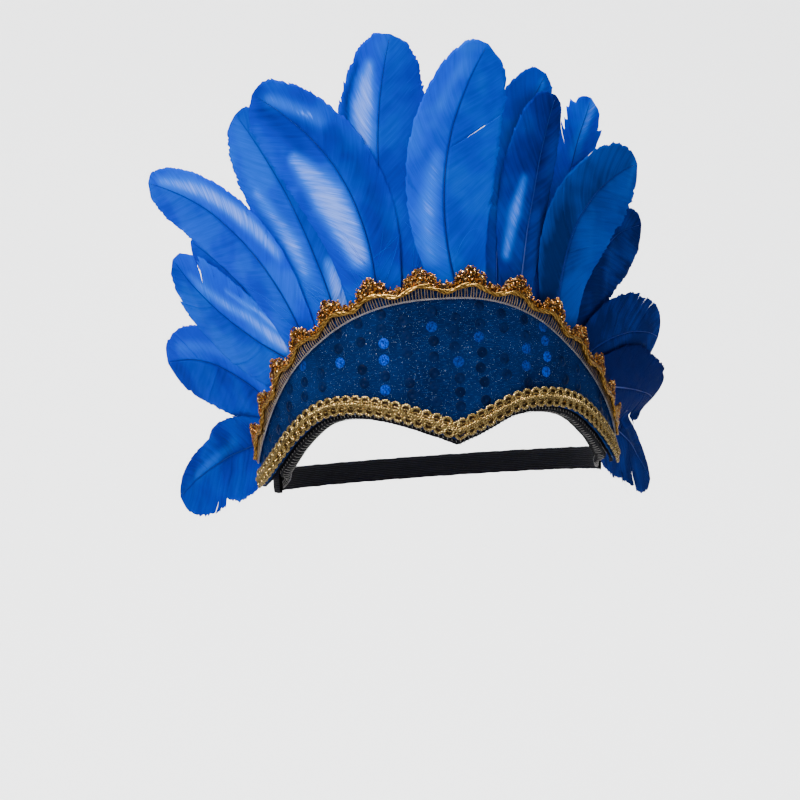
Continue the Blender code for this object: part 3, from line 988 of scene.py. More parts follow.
@dataclass
class Panel:
    """The stiffened front: speckled cloth over a core, its edges rounded, with rows of sequins."""

    wall: float = 0.0025
    rounding: float = 0.0009
    padding: float = 0.0005
    columns: int = 300
    rows: int = 44
    sequin_radius: float = 0.0025
    sequin_dome: float = 0.00006
    column_gap: float = 0.0114
    row_gap: float = 0.0070
    first_column: float = 0.0022
    first_row: float = 0.0035
    pucker: float = 0.00012
    pucker_pitch: float = 0.0062

    def surface(self, p: Array, q: Array) -> Array:
        """Depth of the cloth's face: a quarter round at either edge, puckers by the seams, a swelled middle."""
        near = np.minimum(q - PATTERN.bottom(p), PATTERN.top(p) - q)
        short = 1.0 - np.clip(near / self.rounding, 0.0, 1.0)
        rounded = self.rounding * (1.0 - np.sqrt(1.0 - short**2))
        ripple = np.sin(TAU * p / self.pucker_pitch + 2.0 * soft_noise(p / 0.05, 3))
        puckers = self.pucker * np.exp(-near / 0.006) * ripple
        swell = self.padding * smooth_step(near / 0.016) + 0.00018 * soft_noise(p / 0.06 + q / 0.04, 5)
        return self.padding + rounded - puckers - swell

    def cloth(self, finishes: Finishes) -> Piece:
        """The cloth and its core as one shell.

        A row's place runs from the lower edge (-1) to the upper edge (1); near either edge the shell turns
        back by a quarter circle of the rounding. Padding lifts the middle, and faint puckers follow both
        edges, where the braid and the trim are sewn.
        """
        p = np.linspace(-PATTERN.half_length, PATTERN.half_length, self.columns)[None, :]
        v = np.linspace(0.0, 1.0, self.rows)[:, None]
        v = 0.5 - 0.5 * np.cos(math.pi * v)
        low, high = PATTERN.bottom(p), PATTERN.top(p)
        q = low + v * (high - low)
        depth = self.surface(p, q)
        uv = joined(p / MM, q / MM)
        front = PATTERN.wrap(p, q, depth)
        back = PATTERN.wrap(p, q, np.full_like(q, self.wall))
        shape = Shape()
        # tone.r: the two lowest rows and the lower edge strip are made near black
        near_black_rows = np.zeros(q.shape)
        near_black_rows[:2] = 1.0
        shape.grid(front, uv, near_black_rows)
        shape.grid(back[:, ::-1], uv[:, ::-1], near_black_rows)
        shape.grid(np.stack([back[0], front[0]]), np.stack([uv[0], uv[0]]), 1.0)
        shape.grid(np.stack([front[-1], back[-1]]), np.stack([uv[-1], uv[-1]]))
        shape.grid(np.stack([back[:, 0], front[:, 0]]).transpose(1, 0, 2), np.stack([uv[:, 0]] * 2, axis=1))
        shape.grid(np.stack([front[:, -1], back[:, -1]]).transpose(1, 0, 2), np.stack([uv[:, -1]] * 2, axis=1))
        piece = shape.build("panel_cloth", [finishes.cloth], weld=1e-6)
        return dress(piece, "sequin_cloth", "front_panel")

    def sequins(self, finishes: Finishes) -> Piece:
        """Sequins in columns on the cloth.

        Each is a thin dome of revolution, height = dome * (1 - (r/R)^2), with a small hole, set at a random tilt
        of about a degree. Some, in three columns and a few here and there, are painted bright as painted
        reflections of the lamp; the rest stay dark.
        """
        random = np.random.default_rng(21)
        columns = np.arange(-11, 12)
        rows = np.arange(0, 12)
        p, q = np.meshgrid(columns * self.column_gap + self.first_column, rows * self.row_gap + self.first_row)
        odd = np.round(p / self.column_gap) % 2
        q = q + 0.5 * self.row_gap * odd + 0.0006 * random.standard_normal(q.shape)
        p = p + 0.0005 * random.standard_normal(p.shape)
        p, q = p.reshape(-1), q.reshape(-1)
        margin = self.sequin_radius + 0.0005
        inside = (q > PATTERN.bottom(p) + 0.0092 + 0.6 * margin) & (q < PATTERN.top(p) - 0.0036 - 0.5 * margin)
        inside &= np.abs(p) < PATTERN.half_length - 0.010
        inside &= random.random(len(p)) > 0.10
        p, q = p[inside], q[inside]
        column = np.round((p - self.first_column) / self.column_gap)
        # painted reflection: sequins in three columns and a few at random are painted bright
        bright = np.isin(column, (-5, -3, 4)) * (random.random(len(p)) < 0.75) * (q < 0.066)
        bright = np.maximum(0.9 * bright, 0.35 * (random.random(len(p)) < 0.12))
        bright = bright * (0.7 + 0.3 * random.random(len(p)))
        turn = -TAU * np.arange(17) / 16
        radii = np.array([0.12, 0.62, 1.0, 1.0, 0.12, 0.12])
        lift = self.sequin_dome * np.array([1.0, 0.62, 0.12, 0.0, 1.0, 1.0])
        lift = lift + np.array([0.12, 0.12, 0.11, 0.03, 0.03, 0.12]) * MM
        tilt = np.radians(1.2) * random.standard_normal((len(p), 2))
        dp = self.sequin_radius * radii[None, :, None] * np.cos(turn)[None, None, :]
        dq = self.sequin_radius * radii[None, :, None] * np.sin(turn)[None, None, :]
        height = lift[None, :, None] + dp * tilt[:, 0, None, None] + dq * tilt[:, 1, None, None]
        seat = self.surface(p[:, None, None] + dp, q[:, None, None] + dq)
        points = PATTERN.wrap(p[:, None, None] + dp, q[:, None, None] + dq, seat - height)
        uv = joined(dp / MM, dq / MM, points[..., 0])[..., :2]
        shape = Shape()
        tone = np.broadcast_to(bright[:, None, None], points.shape[:3])
        shape.grid(points, uv, tone)
        piece = shape.build("sequins", [finishes.sequin], weld=1e-6)
        return dress(piece, "sequin_cloth")


@dataclass
class Lining:
    """The black felt behind the feathers, with a rim along its lower edge, and its overlock stitches."""

    wall: float = 0.0015
    drop: float = 0.002
    rim: float = 0.004
    reach: float = 0.8
    pocket: float = 0.0068
    widening: float = 0.00155
    rim_front: float = 0.0029
    softening: float = 0.00035
    columns: int = 220
    stitch_count: int = 128

    def opened(self, p: Array) -> Array:
        """0 along the band and 1 near its ends, where the pocket opens for the elastic."""
        return smooth_step((np.abs(p) / PATTERN.half_length - 0.80) / 0.06)

    def inner(self, p: Array) -> Array:
        """Depth of the felt's front face, deeper near the ends where the elastic comes in."""
        return self.pocket + self.widening * self.opened(p)

    def felt(self, finishes: Finishes) -> Piece:
        """A closed section carried along the band, with softened corners and a slightly uneven back."""
        p = np.linspace(-PATTERN.half_length, PATTERN.half_length, self.columns)
        inner = self.inner(p)
        back = inner + self.wall + 0.00018 * soft_noise(p / 0.03, 9)
        opened = self.opened(p)
        front = self.rim_front + opened * (inner - self.rim_front - 0.00002)
        bottom, top = PATTERN.bottom(p), PATTERN.top(p)
        low = bottom - self.drop + 0.00015 * soft_noise(p / 0.012, 4)
        high = bottom + self.reach * (top - bottom) + 0.0003 * soft_noise(p / 0.02, 8)
        soft = self.softening
        section = [
            (low, front + soft),
            (low + soft, front),
            (low + self.rim - soft, front),
            (low + self.rim, front + soft * (1 - opened)),
            (low + self.rim + soft, inner),
        ]
        above = low + self.rim + soft
        section += [(above + t * (high - soft - above), inner) for t in (0.3, 0.6, 1.0)]
        section += [(high, inner + soft), (high, back - soft), (high - soft, back)]
        section += [(low + soft + t * (high - low - 2 * soft), back) for t in (0.75, 0.5, 0.25, 0.0)]
        section += [(low, back - soft)]
        rings = np.stack([PATTERN.wrap(p, q, depth) for q, depth in section[::-1]], axis=1)
        lengths = np.arange(rings.shape[1] + 1, dtype=float)
        uv = joined(p[:, None] / MM, lengths[None])
        shape = Shape()
        shape.sleeve(rings, uv)
        piece = shape.build("lining_felt", [finishes.felt], weld=1e-6)
        return dress(piece, "felt", "lining")

    def stitches(self, finishes: Finishes) -> Piece:
        """Overlock stitches round the felt's lower edge: slanted loops over the edge every 2.2 mm."""
        p = np.linspace(-0.95, 0.95, self.stitch_count)[:, None] * PATTERN.half_length
        t = np.linspace(0.0, 1.0, 14)[None, :]
        turn = math.pi * t
        back = self.inner(p) + self.wall + 0.0003
        front = 0.0027 + self.opened(p) * (self.inner(p) - 0.0031)
        middle, half = 0.5 * (front + back), 0.5 * (back - front)
        q = PATTERN.bottom(p) - self.drop + 0.0018 - 0.0022 * np.sin(turn)
        depth = middle - half * np.cos(turn)
        paths = PATTERN.wrap(p + 0.0012 * t, q, depth)
        shape = Shape()
        shape.tubes(paths, 0.00017, 5, np.array([0.2, 0.3, 1.0]), np.linspace(0, 1, self.stitch_count))
        piece = shape.build("overlock_stitches", [finishes.threads[Thread.OVERLOCK]])
        return dress(piece, "felt")


@dataclass
class Gimp:
    """Gimp braid along the lower edge: two rows of round loops either side of a twisted middle."""

    width: float = 0.0094
    pitch: float = 0.0048
    cord: float = 0.00070
    sink: float = 0.00035
    steps_per_loop: int = 26

    def line(self, count: int) -> dict[str, Array]:
        """The middle line of the braid: the panel's lower edge moved up by half the width, less at the ends."""
        base = PATTERN.even_run(PATTERN.bottom, 4 * count)
        ends = smooth_step((np.abs(base["p"]) / PATTERN.half_length - 0.4) / 0.3)
        rise = self.width / 2 - 0.0003 - 0.0009 * ends
        p = base["p"] + base["normal_p"] * rise
        q = base["q"] + base["normal_q"] * rise
        order = np.argsort(p, kind="stable")
        p, q = p[order], q[order]
        kernel = np.hanning(41) / np.hanning(41).sum()
        q = np.convolve(np.pad(q, 20, mode="edge"), kernel, mode="valid")
        run = np.concatenate([[0.0], np.cumsum(np.hypot(np.diff(p), np.diff(q)) + 1e-9)])
        return Pattern.read_run(p, q, run, np.linspace(0.0015, run[-1] - 0.0005, count))

    def place(self, line: dict[str, Array], across: Array, lift: Array, forward=0.0) -> Array:
        """Points at a distance across the braid, along it, and out of it."""
        p = line["p"] + line["normal_p"] * across + line["tangent_p"] * forward
        q = line["q"] + line["normal_q"] * across + line["tangent_q"] * forward
        return PATTERN.wrap(p, q, -(self.sink + lift))

    def outward(self, line: dict[str, Array]) -> Array:
        """Direction out of the cloth along the braid."""
        return unit(PATTERN.wrap(line["p"], line["q"], -0.001) - PATTERN.wrap(line["p"], line["q"], 0.0))

    def loops(self, finishes: Finishes) -> Piece:
        """The looped cords.

        A cord runs across = h sin(t), forward = -c sin(2t), with t one turn for each two loops, so that
        its crests are round and it crosses itself in the middle. A second, smaller cord lies inside.
        """
        whole = self.line(8)["whole"]
        loops = int(whole / self.pitch)
        count = loops * self.steps_per_loop
        line = self.line(count)
        turn = TAU * line["run"] / self.pitch
        up = self.outward(line)[None]
        shape = Shape()
        edge = self.width / 2 - self.cord
        for share, radius, lift, tone in ((1.0, self.cord, 0.0010, 0.7), (0.46, 0.72 * self.cord, 0.0004, 0.3)):
            bulge = 0.00028 * np.cos(turn) ** 2
            across = share * edge * np.sin(turn)
            forward = -share * 0.27 * self.pitch * np.sin(2 * turn)
            path = self.place(line, across, lift + bulge, forward)
            shape.tubes(path[None], radius, 7, up, tone)
        for phase in (0.0, math.pi):
            twist = 2 * turn + phase
            path = self.place(line, 0.0006 * np.sin(twist), 0.0018 + 0.00035 * np.cos(twist))
            shape.tubes(path[None], 0.0005, 6, up, 1.0)
        piece = shape.build("gimp_braid", [finishes.threads[Thread.GIMP]])
        return dress(piece, "gimp", "bottom_braid")

    def ground(self, finishes: Finishes) -> Piece:
        """The ribbon that the loops are sewn to: a low arch, with a scalloped edge under the loops."""
        line = self.line(900)
        t = np.linspace(-1.0, 1.0, 9)[None, :]
        column = upright(line)
        scallop = 0.68 + 0.05 * np.abs(np.sin(math.pi * line["run"] / self.pitch))[:, None]
        across = 0.5 * self.width * scallop * t
        points = self.place(column, across, 0.0005 * (1 - t**4))
        uv = joined(line["run"][:, None] / MM, 2.0 * t)
        shape = Shape()
        shape.grid(points.transpose(1, 0, 2), uv.transpose(1, 0, 2))
        piece = shape.build("gimp_ground", [finishes.threads[Thread.GIMP_GROUND]])
        thicken(piece, 0.0003, 1.0)
        return dress(piece, "gimp")


@dataclass
class Trim:
    """Scalloped trim along the upper edge: thread heading, wavy cord, beaded lobes."""

    sink: float = 0.0036
    lobes: int = 14
    cord: float = 0.00075
    crest: float = 0.0024
    trough: float = -0.0008
    back: float = 0.0004
    bars: int = 225
    bead: float = 0.00046
    bead_gap: float = 0.00078
    # the round heads of a lobe: place along the run, height of the middle, radius
    heads: tuple = ((0.0, 0.0080, 0.0034), (-0.0040, 0.0056, 0.0031), (0.0040, 0.0056, 0.0031))

    def wave(self, share: Array) -> Array:
        """Height of the wavy cord: highest under each lobe, from the share of the run in lobes."""
        return self.trough + (self.crest - self.trough) * (0.5 - 0.5 * np.cos(TAU * share)) ** 0.8

    def cords(self, finishes: Finishes) -> Piece:
        """The two-ply gold cord on its wave."""
        count = self.lobes * 60
        line = PATTERN.edge_run(count)
        share = line["run"] / line["whole"] * self.lobes
        up = unit(ribbon(line, 0.0, -0.001) - ribbon(line, 0.0, 0.0))[None]
        shape = Shape()
        for phase in (0.0, math.pi):
            twist = TAU * line["run"] / 0.0170 + phase
            height = self.wave(share) + 0.00052 * np.sin(twist)
            path = ribbon(line, height, -(self.back + 0.0016 + 0.0004 * np.cos(twist)))
            shape.tubes(path[None], self.cord, 8, up, 0.8)
        piece = shape.build("trim_cord", [finishes.threads[Thread.GOLD_CORD]])
        return dress(piece, "trim")

    def heading(self, finishes: Finishes) -> Piece:
        """The heading: a pale thread along the panel's edge, thin bars up to the cord, and a second thread."""
        shape = Shape()
        line = PATTERN.edge_run(1500)
        up = unit(ribbon(line, 0.0, -0.001) - ribbon(line, 0.0, 0.0))[None]
        for phase in (0.0, math.pi):
            twist = TAU * line["run"] / 0.0022 + phase
            height = -self.sink + 0.0003 * np.sin(twist)
            path = ribbon(line, height, -(self.back + 0.0005 + 0.0002 * np.cos(twist)))
            shape.tubes(path[None], 0.00019, 5, up, 1.0, 0)
        tape = PATTERN.edge_run(900)
        side = np.array([0.0, 0.33, 0.67, 1.0, 1.0, 0.67, 0.33, 0.0])[None, :]
        depth = np.repeat([0.2, -0.15], 4)[None, :] * MM
        top = self.wave(tape["run"] / tape["whole"] * self.lobes)[:, None]
        rings = ribbon(upright(tape), -self.sink + 0.0002 + side * (top + self.sink), depth)
        around = np.append(side[0], 0.0)[None, :] * 5.0
        shape.sleeve(rings, joined(tape["run"][:, None] / MM, around), 0.0, 2)
        bars = PATTERN.edge_run(self.bars)
        random = np.random.default_rng(4)
        share = bars["run"] / bars["whole"] * self.lobes
        t = np.linspace(0.0, 1.0, 7)[None, :]
        column = upright(bars)
        top = self.wave(share)[:, None]
        sway = 0.0003 * random.standard_normal((len(share), 1))
        height = -self.sink + t * (top + self.sink)
        p = column["p"] + column["normal_p"] * height + column["tangent_p"] * sway * t
        q = column["q"] + column["normal_q"] * height + column["tangent_q"] * sway * t
        paths = PATTERN.wrap(p, q, -(self.back + 0.0004 + 0.0005 * np.sin(math.pi * t)) + 0 * p)
        shape.tubes(paths, 0.00022, 5, np.array([0.3, -0.5, 0.2]), random.random(len(share)), 1)
        materials = [finishes.threads[Thread.SILVER], finishes.threads[Thread.BRONZE], finishes.cloth]
        piece = shape.build("trim_heading", materials, weld=1e-6)
        return dress(piece, "trim")

    def offset(self, share: Array, whole: float) -> Array:
        """Distance along the run from the middle of the nearest lobe."""
        return ((share % 1.0) - 0.5) * whole / self.lobes

    def band_top(self, share: Array) -> Array:
        """Upper edge of the low band between the lobes, highest and tufted half way between two."""
        between = 0.5 + 0.5 * np.cos(TAU * share)
        return self.wave(share) + 0.0029 + between**2 * (0.0017 + 0.0008 * np.sin(TAU * share * 7))

    def lobe_top(self, share: Array, whole: float) -> Array:
        """Upper outline of the trim: a trefoil of three round heads on each lobe, over a low band."""
        offset = self.offset(share, whole)
        top = self.band_top(share)
        for centre, height, radius in self.heads:
            head = height + np.sqrt(np.clip(radius**2 - (offset - centre) ** 2, 0.0, None))
            top = np.where(np.abs(offset - centre) < radius, np.maximum(top, head), top)
        return top

    def in_heads(self, share: Array, height: Array, whole: float) -> Array:
        """Whether a point lies within a head, within the stem below them, or within the band."""
        offset = self.offset(share, whole)
        inside = height < self.band_top(share)
        inside |= (np.abs(offset) < 0.0050) & (height < 0.0056)
        for centre, middle, radius in self.heads:
            inside |= np.hypot(offset - centre, height - middle) < radius
        return inside & (height > self.wave(share) + 0.0007)

    def ground(self, finishes: Finishes) -> Piece:
        """The puffed bronze ground of the lobes, from the cord to the outline of the heads."""
        count = self.lobes * 96
        line = PATTERN.edge_run(count)
        share = line["run"] / line["whole"] * self.lobes
        low = self.wave(share) - 0.0004
        high = self.lobe_top(share, line["whole"]) - 0.0007
        t = np.linspace(0.0, 1.0, 12)[:, None]
        height = low + t * (high - low)
        puff = 0.0010 * np.sqrt(np.clip(1.0 - (2 * t - 1) ** 2, 0.0, None)) * smooth_step((high - low) / 0.004)
        points = ribbon(line, height, -(self.back + puff))
        uv = joined(line["run"] / MM, height / MM)
        shape = Shape()
        shape.grid(points, uv, 0.3)
        piece = shape.build("trim_ground", [finishes.threads[Thread.GIMP_GROUND]])
        thicken(piece, 0.0004, -1.0)
        return dress(piece, "trim", "top_trim")

    def beads(self, finishes: Finishes) -> Piece:
        """Glitter beads over the lobes: 20-sided beads at random places and turns, the size of each random."""
        random = np.random.default_rng(77)
        line_all = PATTERN.edge_run(4000)
        whole = line_all["whole"]
        tries = 12000
        run = random.random(tries) * whole
        share = run / whole * self.lobes
        height = random.random(tries) * 0.0118
        keep = self.in_heads(share, height, whole)
        run, height, share = run[keep], height[keep], share[keep]
        chosen = self.spread(run, height, self.bead_gap)
        run, height, share = run[chosen], height[chosen], share[chosen]
        low, high = self.wave(share), self.lobe_top(share, whole)
        keys = ("p", "q", "normal_p", "normal_q")
        place = {key: np.interp(run, line_all["run"], line_all[key]) for key in keys}
        dome = np.clip((height - low) / np.maximum(high - low, 1e-6), 0.0, 1.0)
        puff = 0.0011 * np.sqrt(np.clip(1.0 - (2 * dome - 1) ** 2, 0.0, None))
        puff = puff * smooth_step((high - low) / 0.004)
        size = self.bead * (0.8 + 0.5 * random.random(len(run)))
        centres = ribbon(place, height, -(self.back + puff + 0.45 * size))
        corners, faces = self.bead_form()
        turns = self.random_turns(random, len(run))
        points = centres[:, None] + size[:, None, None] * np.einsum("nij,kj->nki", turns, corners)
        index = faces[None] + (np.arange(len(run)) * len(corners))[:, None, None]
        shade = random.random(len(run)) ** 1.3
        shape = Shape()
        shape.add(
            points.reshape(-1, 3),
            index.reshape(-1, 3),
            np.zeros((len(run) * len(faces), 3, 2)),
            np.repeat(shade, len(corners)),
        )
        piece = shape.build("trim_beads", [finishes.bead], smooth=False)
        return dress(piece, "trim")

    @staticmethod
    def spread(a: Array, b: Array, gap: float) -> Array:
        """Indices of points kept so that no two lie in the same cell of a grid of that gap."""
        cell = np.floor(a / gap).astype(np.int64) * 100003 + np.floor(b / gap).astype(np.int64)
        return np.unique(cell, return_index=True)[1]

    @staticmethod
    def bead_form() -> tuple[Array, Array]:
        """Corners and faces of an icosahedron: (0, 1, g), (1, g, 0) and (g, 0, 1) with signs."""
        g = (1 + math.sqrt(5)) / 2
        corners = []
        for a in (-1, 1):
            for b in (-g, g):
                corners += [(0, a, b), (a, b, 0), (b, 0, a)]
        corners = np.array(corners) / math.hypot(1, g)
        gaps = np.linalg.norm(corners[:, None] - corners[None], axis=-1)
        near = (gaps > 0) & (gaps < 1.1)
        i, j, k = np.nonzero(near[:, :, None] & near[:, None, :] & near[None])
        faces = np.stack([i, j, k], axis=1)
        faces = faces[(i < j) & (i < k)]
        first, second, third = (corners[faces[:, k]] for k in range(3))
        normal = np.cross(second - first, third - first)
        faces = faces[(normal * first).sum(axis=1) > 0]
        return corners, faces

    @staticmethod
    def random_turns(random: np.random.Generator, count: int) -> Array:
        """Rotation matrices from random unit quaternions."""
        a, b, c, d = unit(random.standard_normal((count, 4))).T
        return np.stack(
            [
                np.stack([1 - 2 * (c * c + d * d), 2 * (b * c - a * d), 2 * (b * d + a * c)], -1),
                np.stack([2 * (b * c + a * d), 1 - 2 * (b * b + d * d), 2 * (c * d - a * b)], -1),
                np.stack([2 * (b * d - a * c), 2 * (c * d + a * b), 1 - 2 * (b * b + c * c)], -1),
            ],
            axis=-2,
        )


@dataclass
class Elastic:
    """The woven elastic round the back of the head, sewn into the pocket at both ends."""

    width: float = 0.011
    wall: float = 0.0012
    level: float = 0.0025
    tuck: float = 0.012
    depth: float = 0.00800
    columns: int = 260
    length: float = 0.300
    rib_pitch: float = 0.0009

    def build(self, finishes: Finishes) -> Piece:
        """A flat oval section of ribs carried round the ellipse, with a faint ripple of its edges."""
        start = float(PATTERN.angle(PATTERN.half_length - self.tuck))
        angle = np.linspace(start, TAU - start, self.columns)
        run = np.linspace(0.0, self.length, self.columns)
        across = np.linspace(-0.5, 0.5, 23)
        outer = 0.5 * self.wall * (1.0 - (2 * np.abs(across)) ** 8 * 0.7)
        ribs = 0.00007 * np.abs(np.sin(math.pi * across * self.width / self.rib_pitch))
        section_z = np.concatenate([across, across[::-1]]) * self.width
        section_d = np.concatenate([outer + ribs, -(outer + ribs)[::-1]])
        ripple = 0.00015 * soft_noise(run / 0.02, 6)[:, None] * np.sign(section_z)[None]
        x, y = PATTERN.plan_point(angle[:, None], self.depth - 0.5 * self.wall + section_d[None])
        rings = joined(x, y, self.level + section_z[None] + ripple)
        around = np.concatenate([section_z, section_z[:1]]) / MM
        uv = joined(run[:, None] / MM, around[None])
        shape = Shape()
        shape.sleeve(rings, uv)
        piece = shape.build("elastic_band", [finishes.elastic], weld=1e-6)
        return dress(piece, "elastic", "elastic_strap")


# The feathers


LEFT, RIGHT = -1.0, 1.0


@dataclass(frozen=True)
class Stroke:
    """A soft stroke on a vane, used both for painted highlights and for painted shadow lines: points of (along,
    across, half width in mm, strength), joined in a line.
    """

    points: tuple

    def mask(self, along: Array, across: Array) -> Array:
        """Strength of the stroke, falling off as a bell with the distance to its line.

        Args:
            along: share of the feather's length.
            across: share of the widest vane, negative on the left.

        Returns:
            The greatest bell, strength * exp(-(distance / width)^2), over the stroke's segments.
        """
        long, wide = 115.0, 24.0
        x, y = along * long, across * wide
        mask = np.zeros_like(x)
        for (a0, c0, w0, s0), (a1, c1, w1, s1) in zip(self.points[:-1], self.points[1:]):
            start = np.array([a0 * long, c0 * wide])
            step = np.array([a1 * long, c1 * wide]) - start
            reach = (x - start[0]) * step[0] + (y - start[1]) * step[1]
            t = np.clip(reach / max(step @ step, 1e-9), 0.0, 1.0)
            far = np.hypot(x - start[0] - t * step[0], y - start[1] - t * step[1]) / (w0 + t * (w1 - w0))
            mask = np.maximum(mask, (s0 + t * (s1 - s0)) * np.exp(-far**2))
        return mask


@dataclass(frozen=True)
class Feather:
    """One feather: its cut, as in the CAD source, then its look.

    seat is where the quill leaves the band, as a share of its half length, and turn its lean in degrees.
    length, left and right are shares of the common length and vane. bow bends the shaft sideways, and a higher
    layer lies further back. dark is given for the left and the right vane, partly the dye and partly painted
    shade, deepest on the feathers to the right, which face away from the key light. The pale strokes are painted
    highlights of the satin sheen, and the shades are painted shadows at folds and overlaps, each a line of Stroke
    points. A split is (side, station, opening, share of the barb where it begins). down and strays count the loose
    strands.
    """

    node: str
    seat: float
    turn: float
    length: float
    left: float
    right: float
    bow: float
    layer: int
    # dark: partly the dye, partly painted shade on the feathers to the right
    dark: tuple = (0.2, 0.2)
    teal: float = 0.0
    shaft: float = 0.0
    # strokes: painted highlights of the satin sheen; shades: painted shadows
    strokes: tuple = ()
    shades: tuple = ()
    splits: tuple = ()
    ragged: float = 0.15
    blunt: float = 0.0
    curl_left: float = 0.0
    curl_right: float = 0.0
    down: int = 0
    strays: int = 6


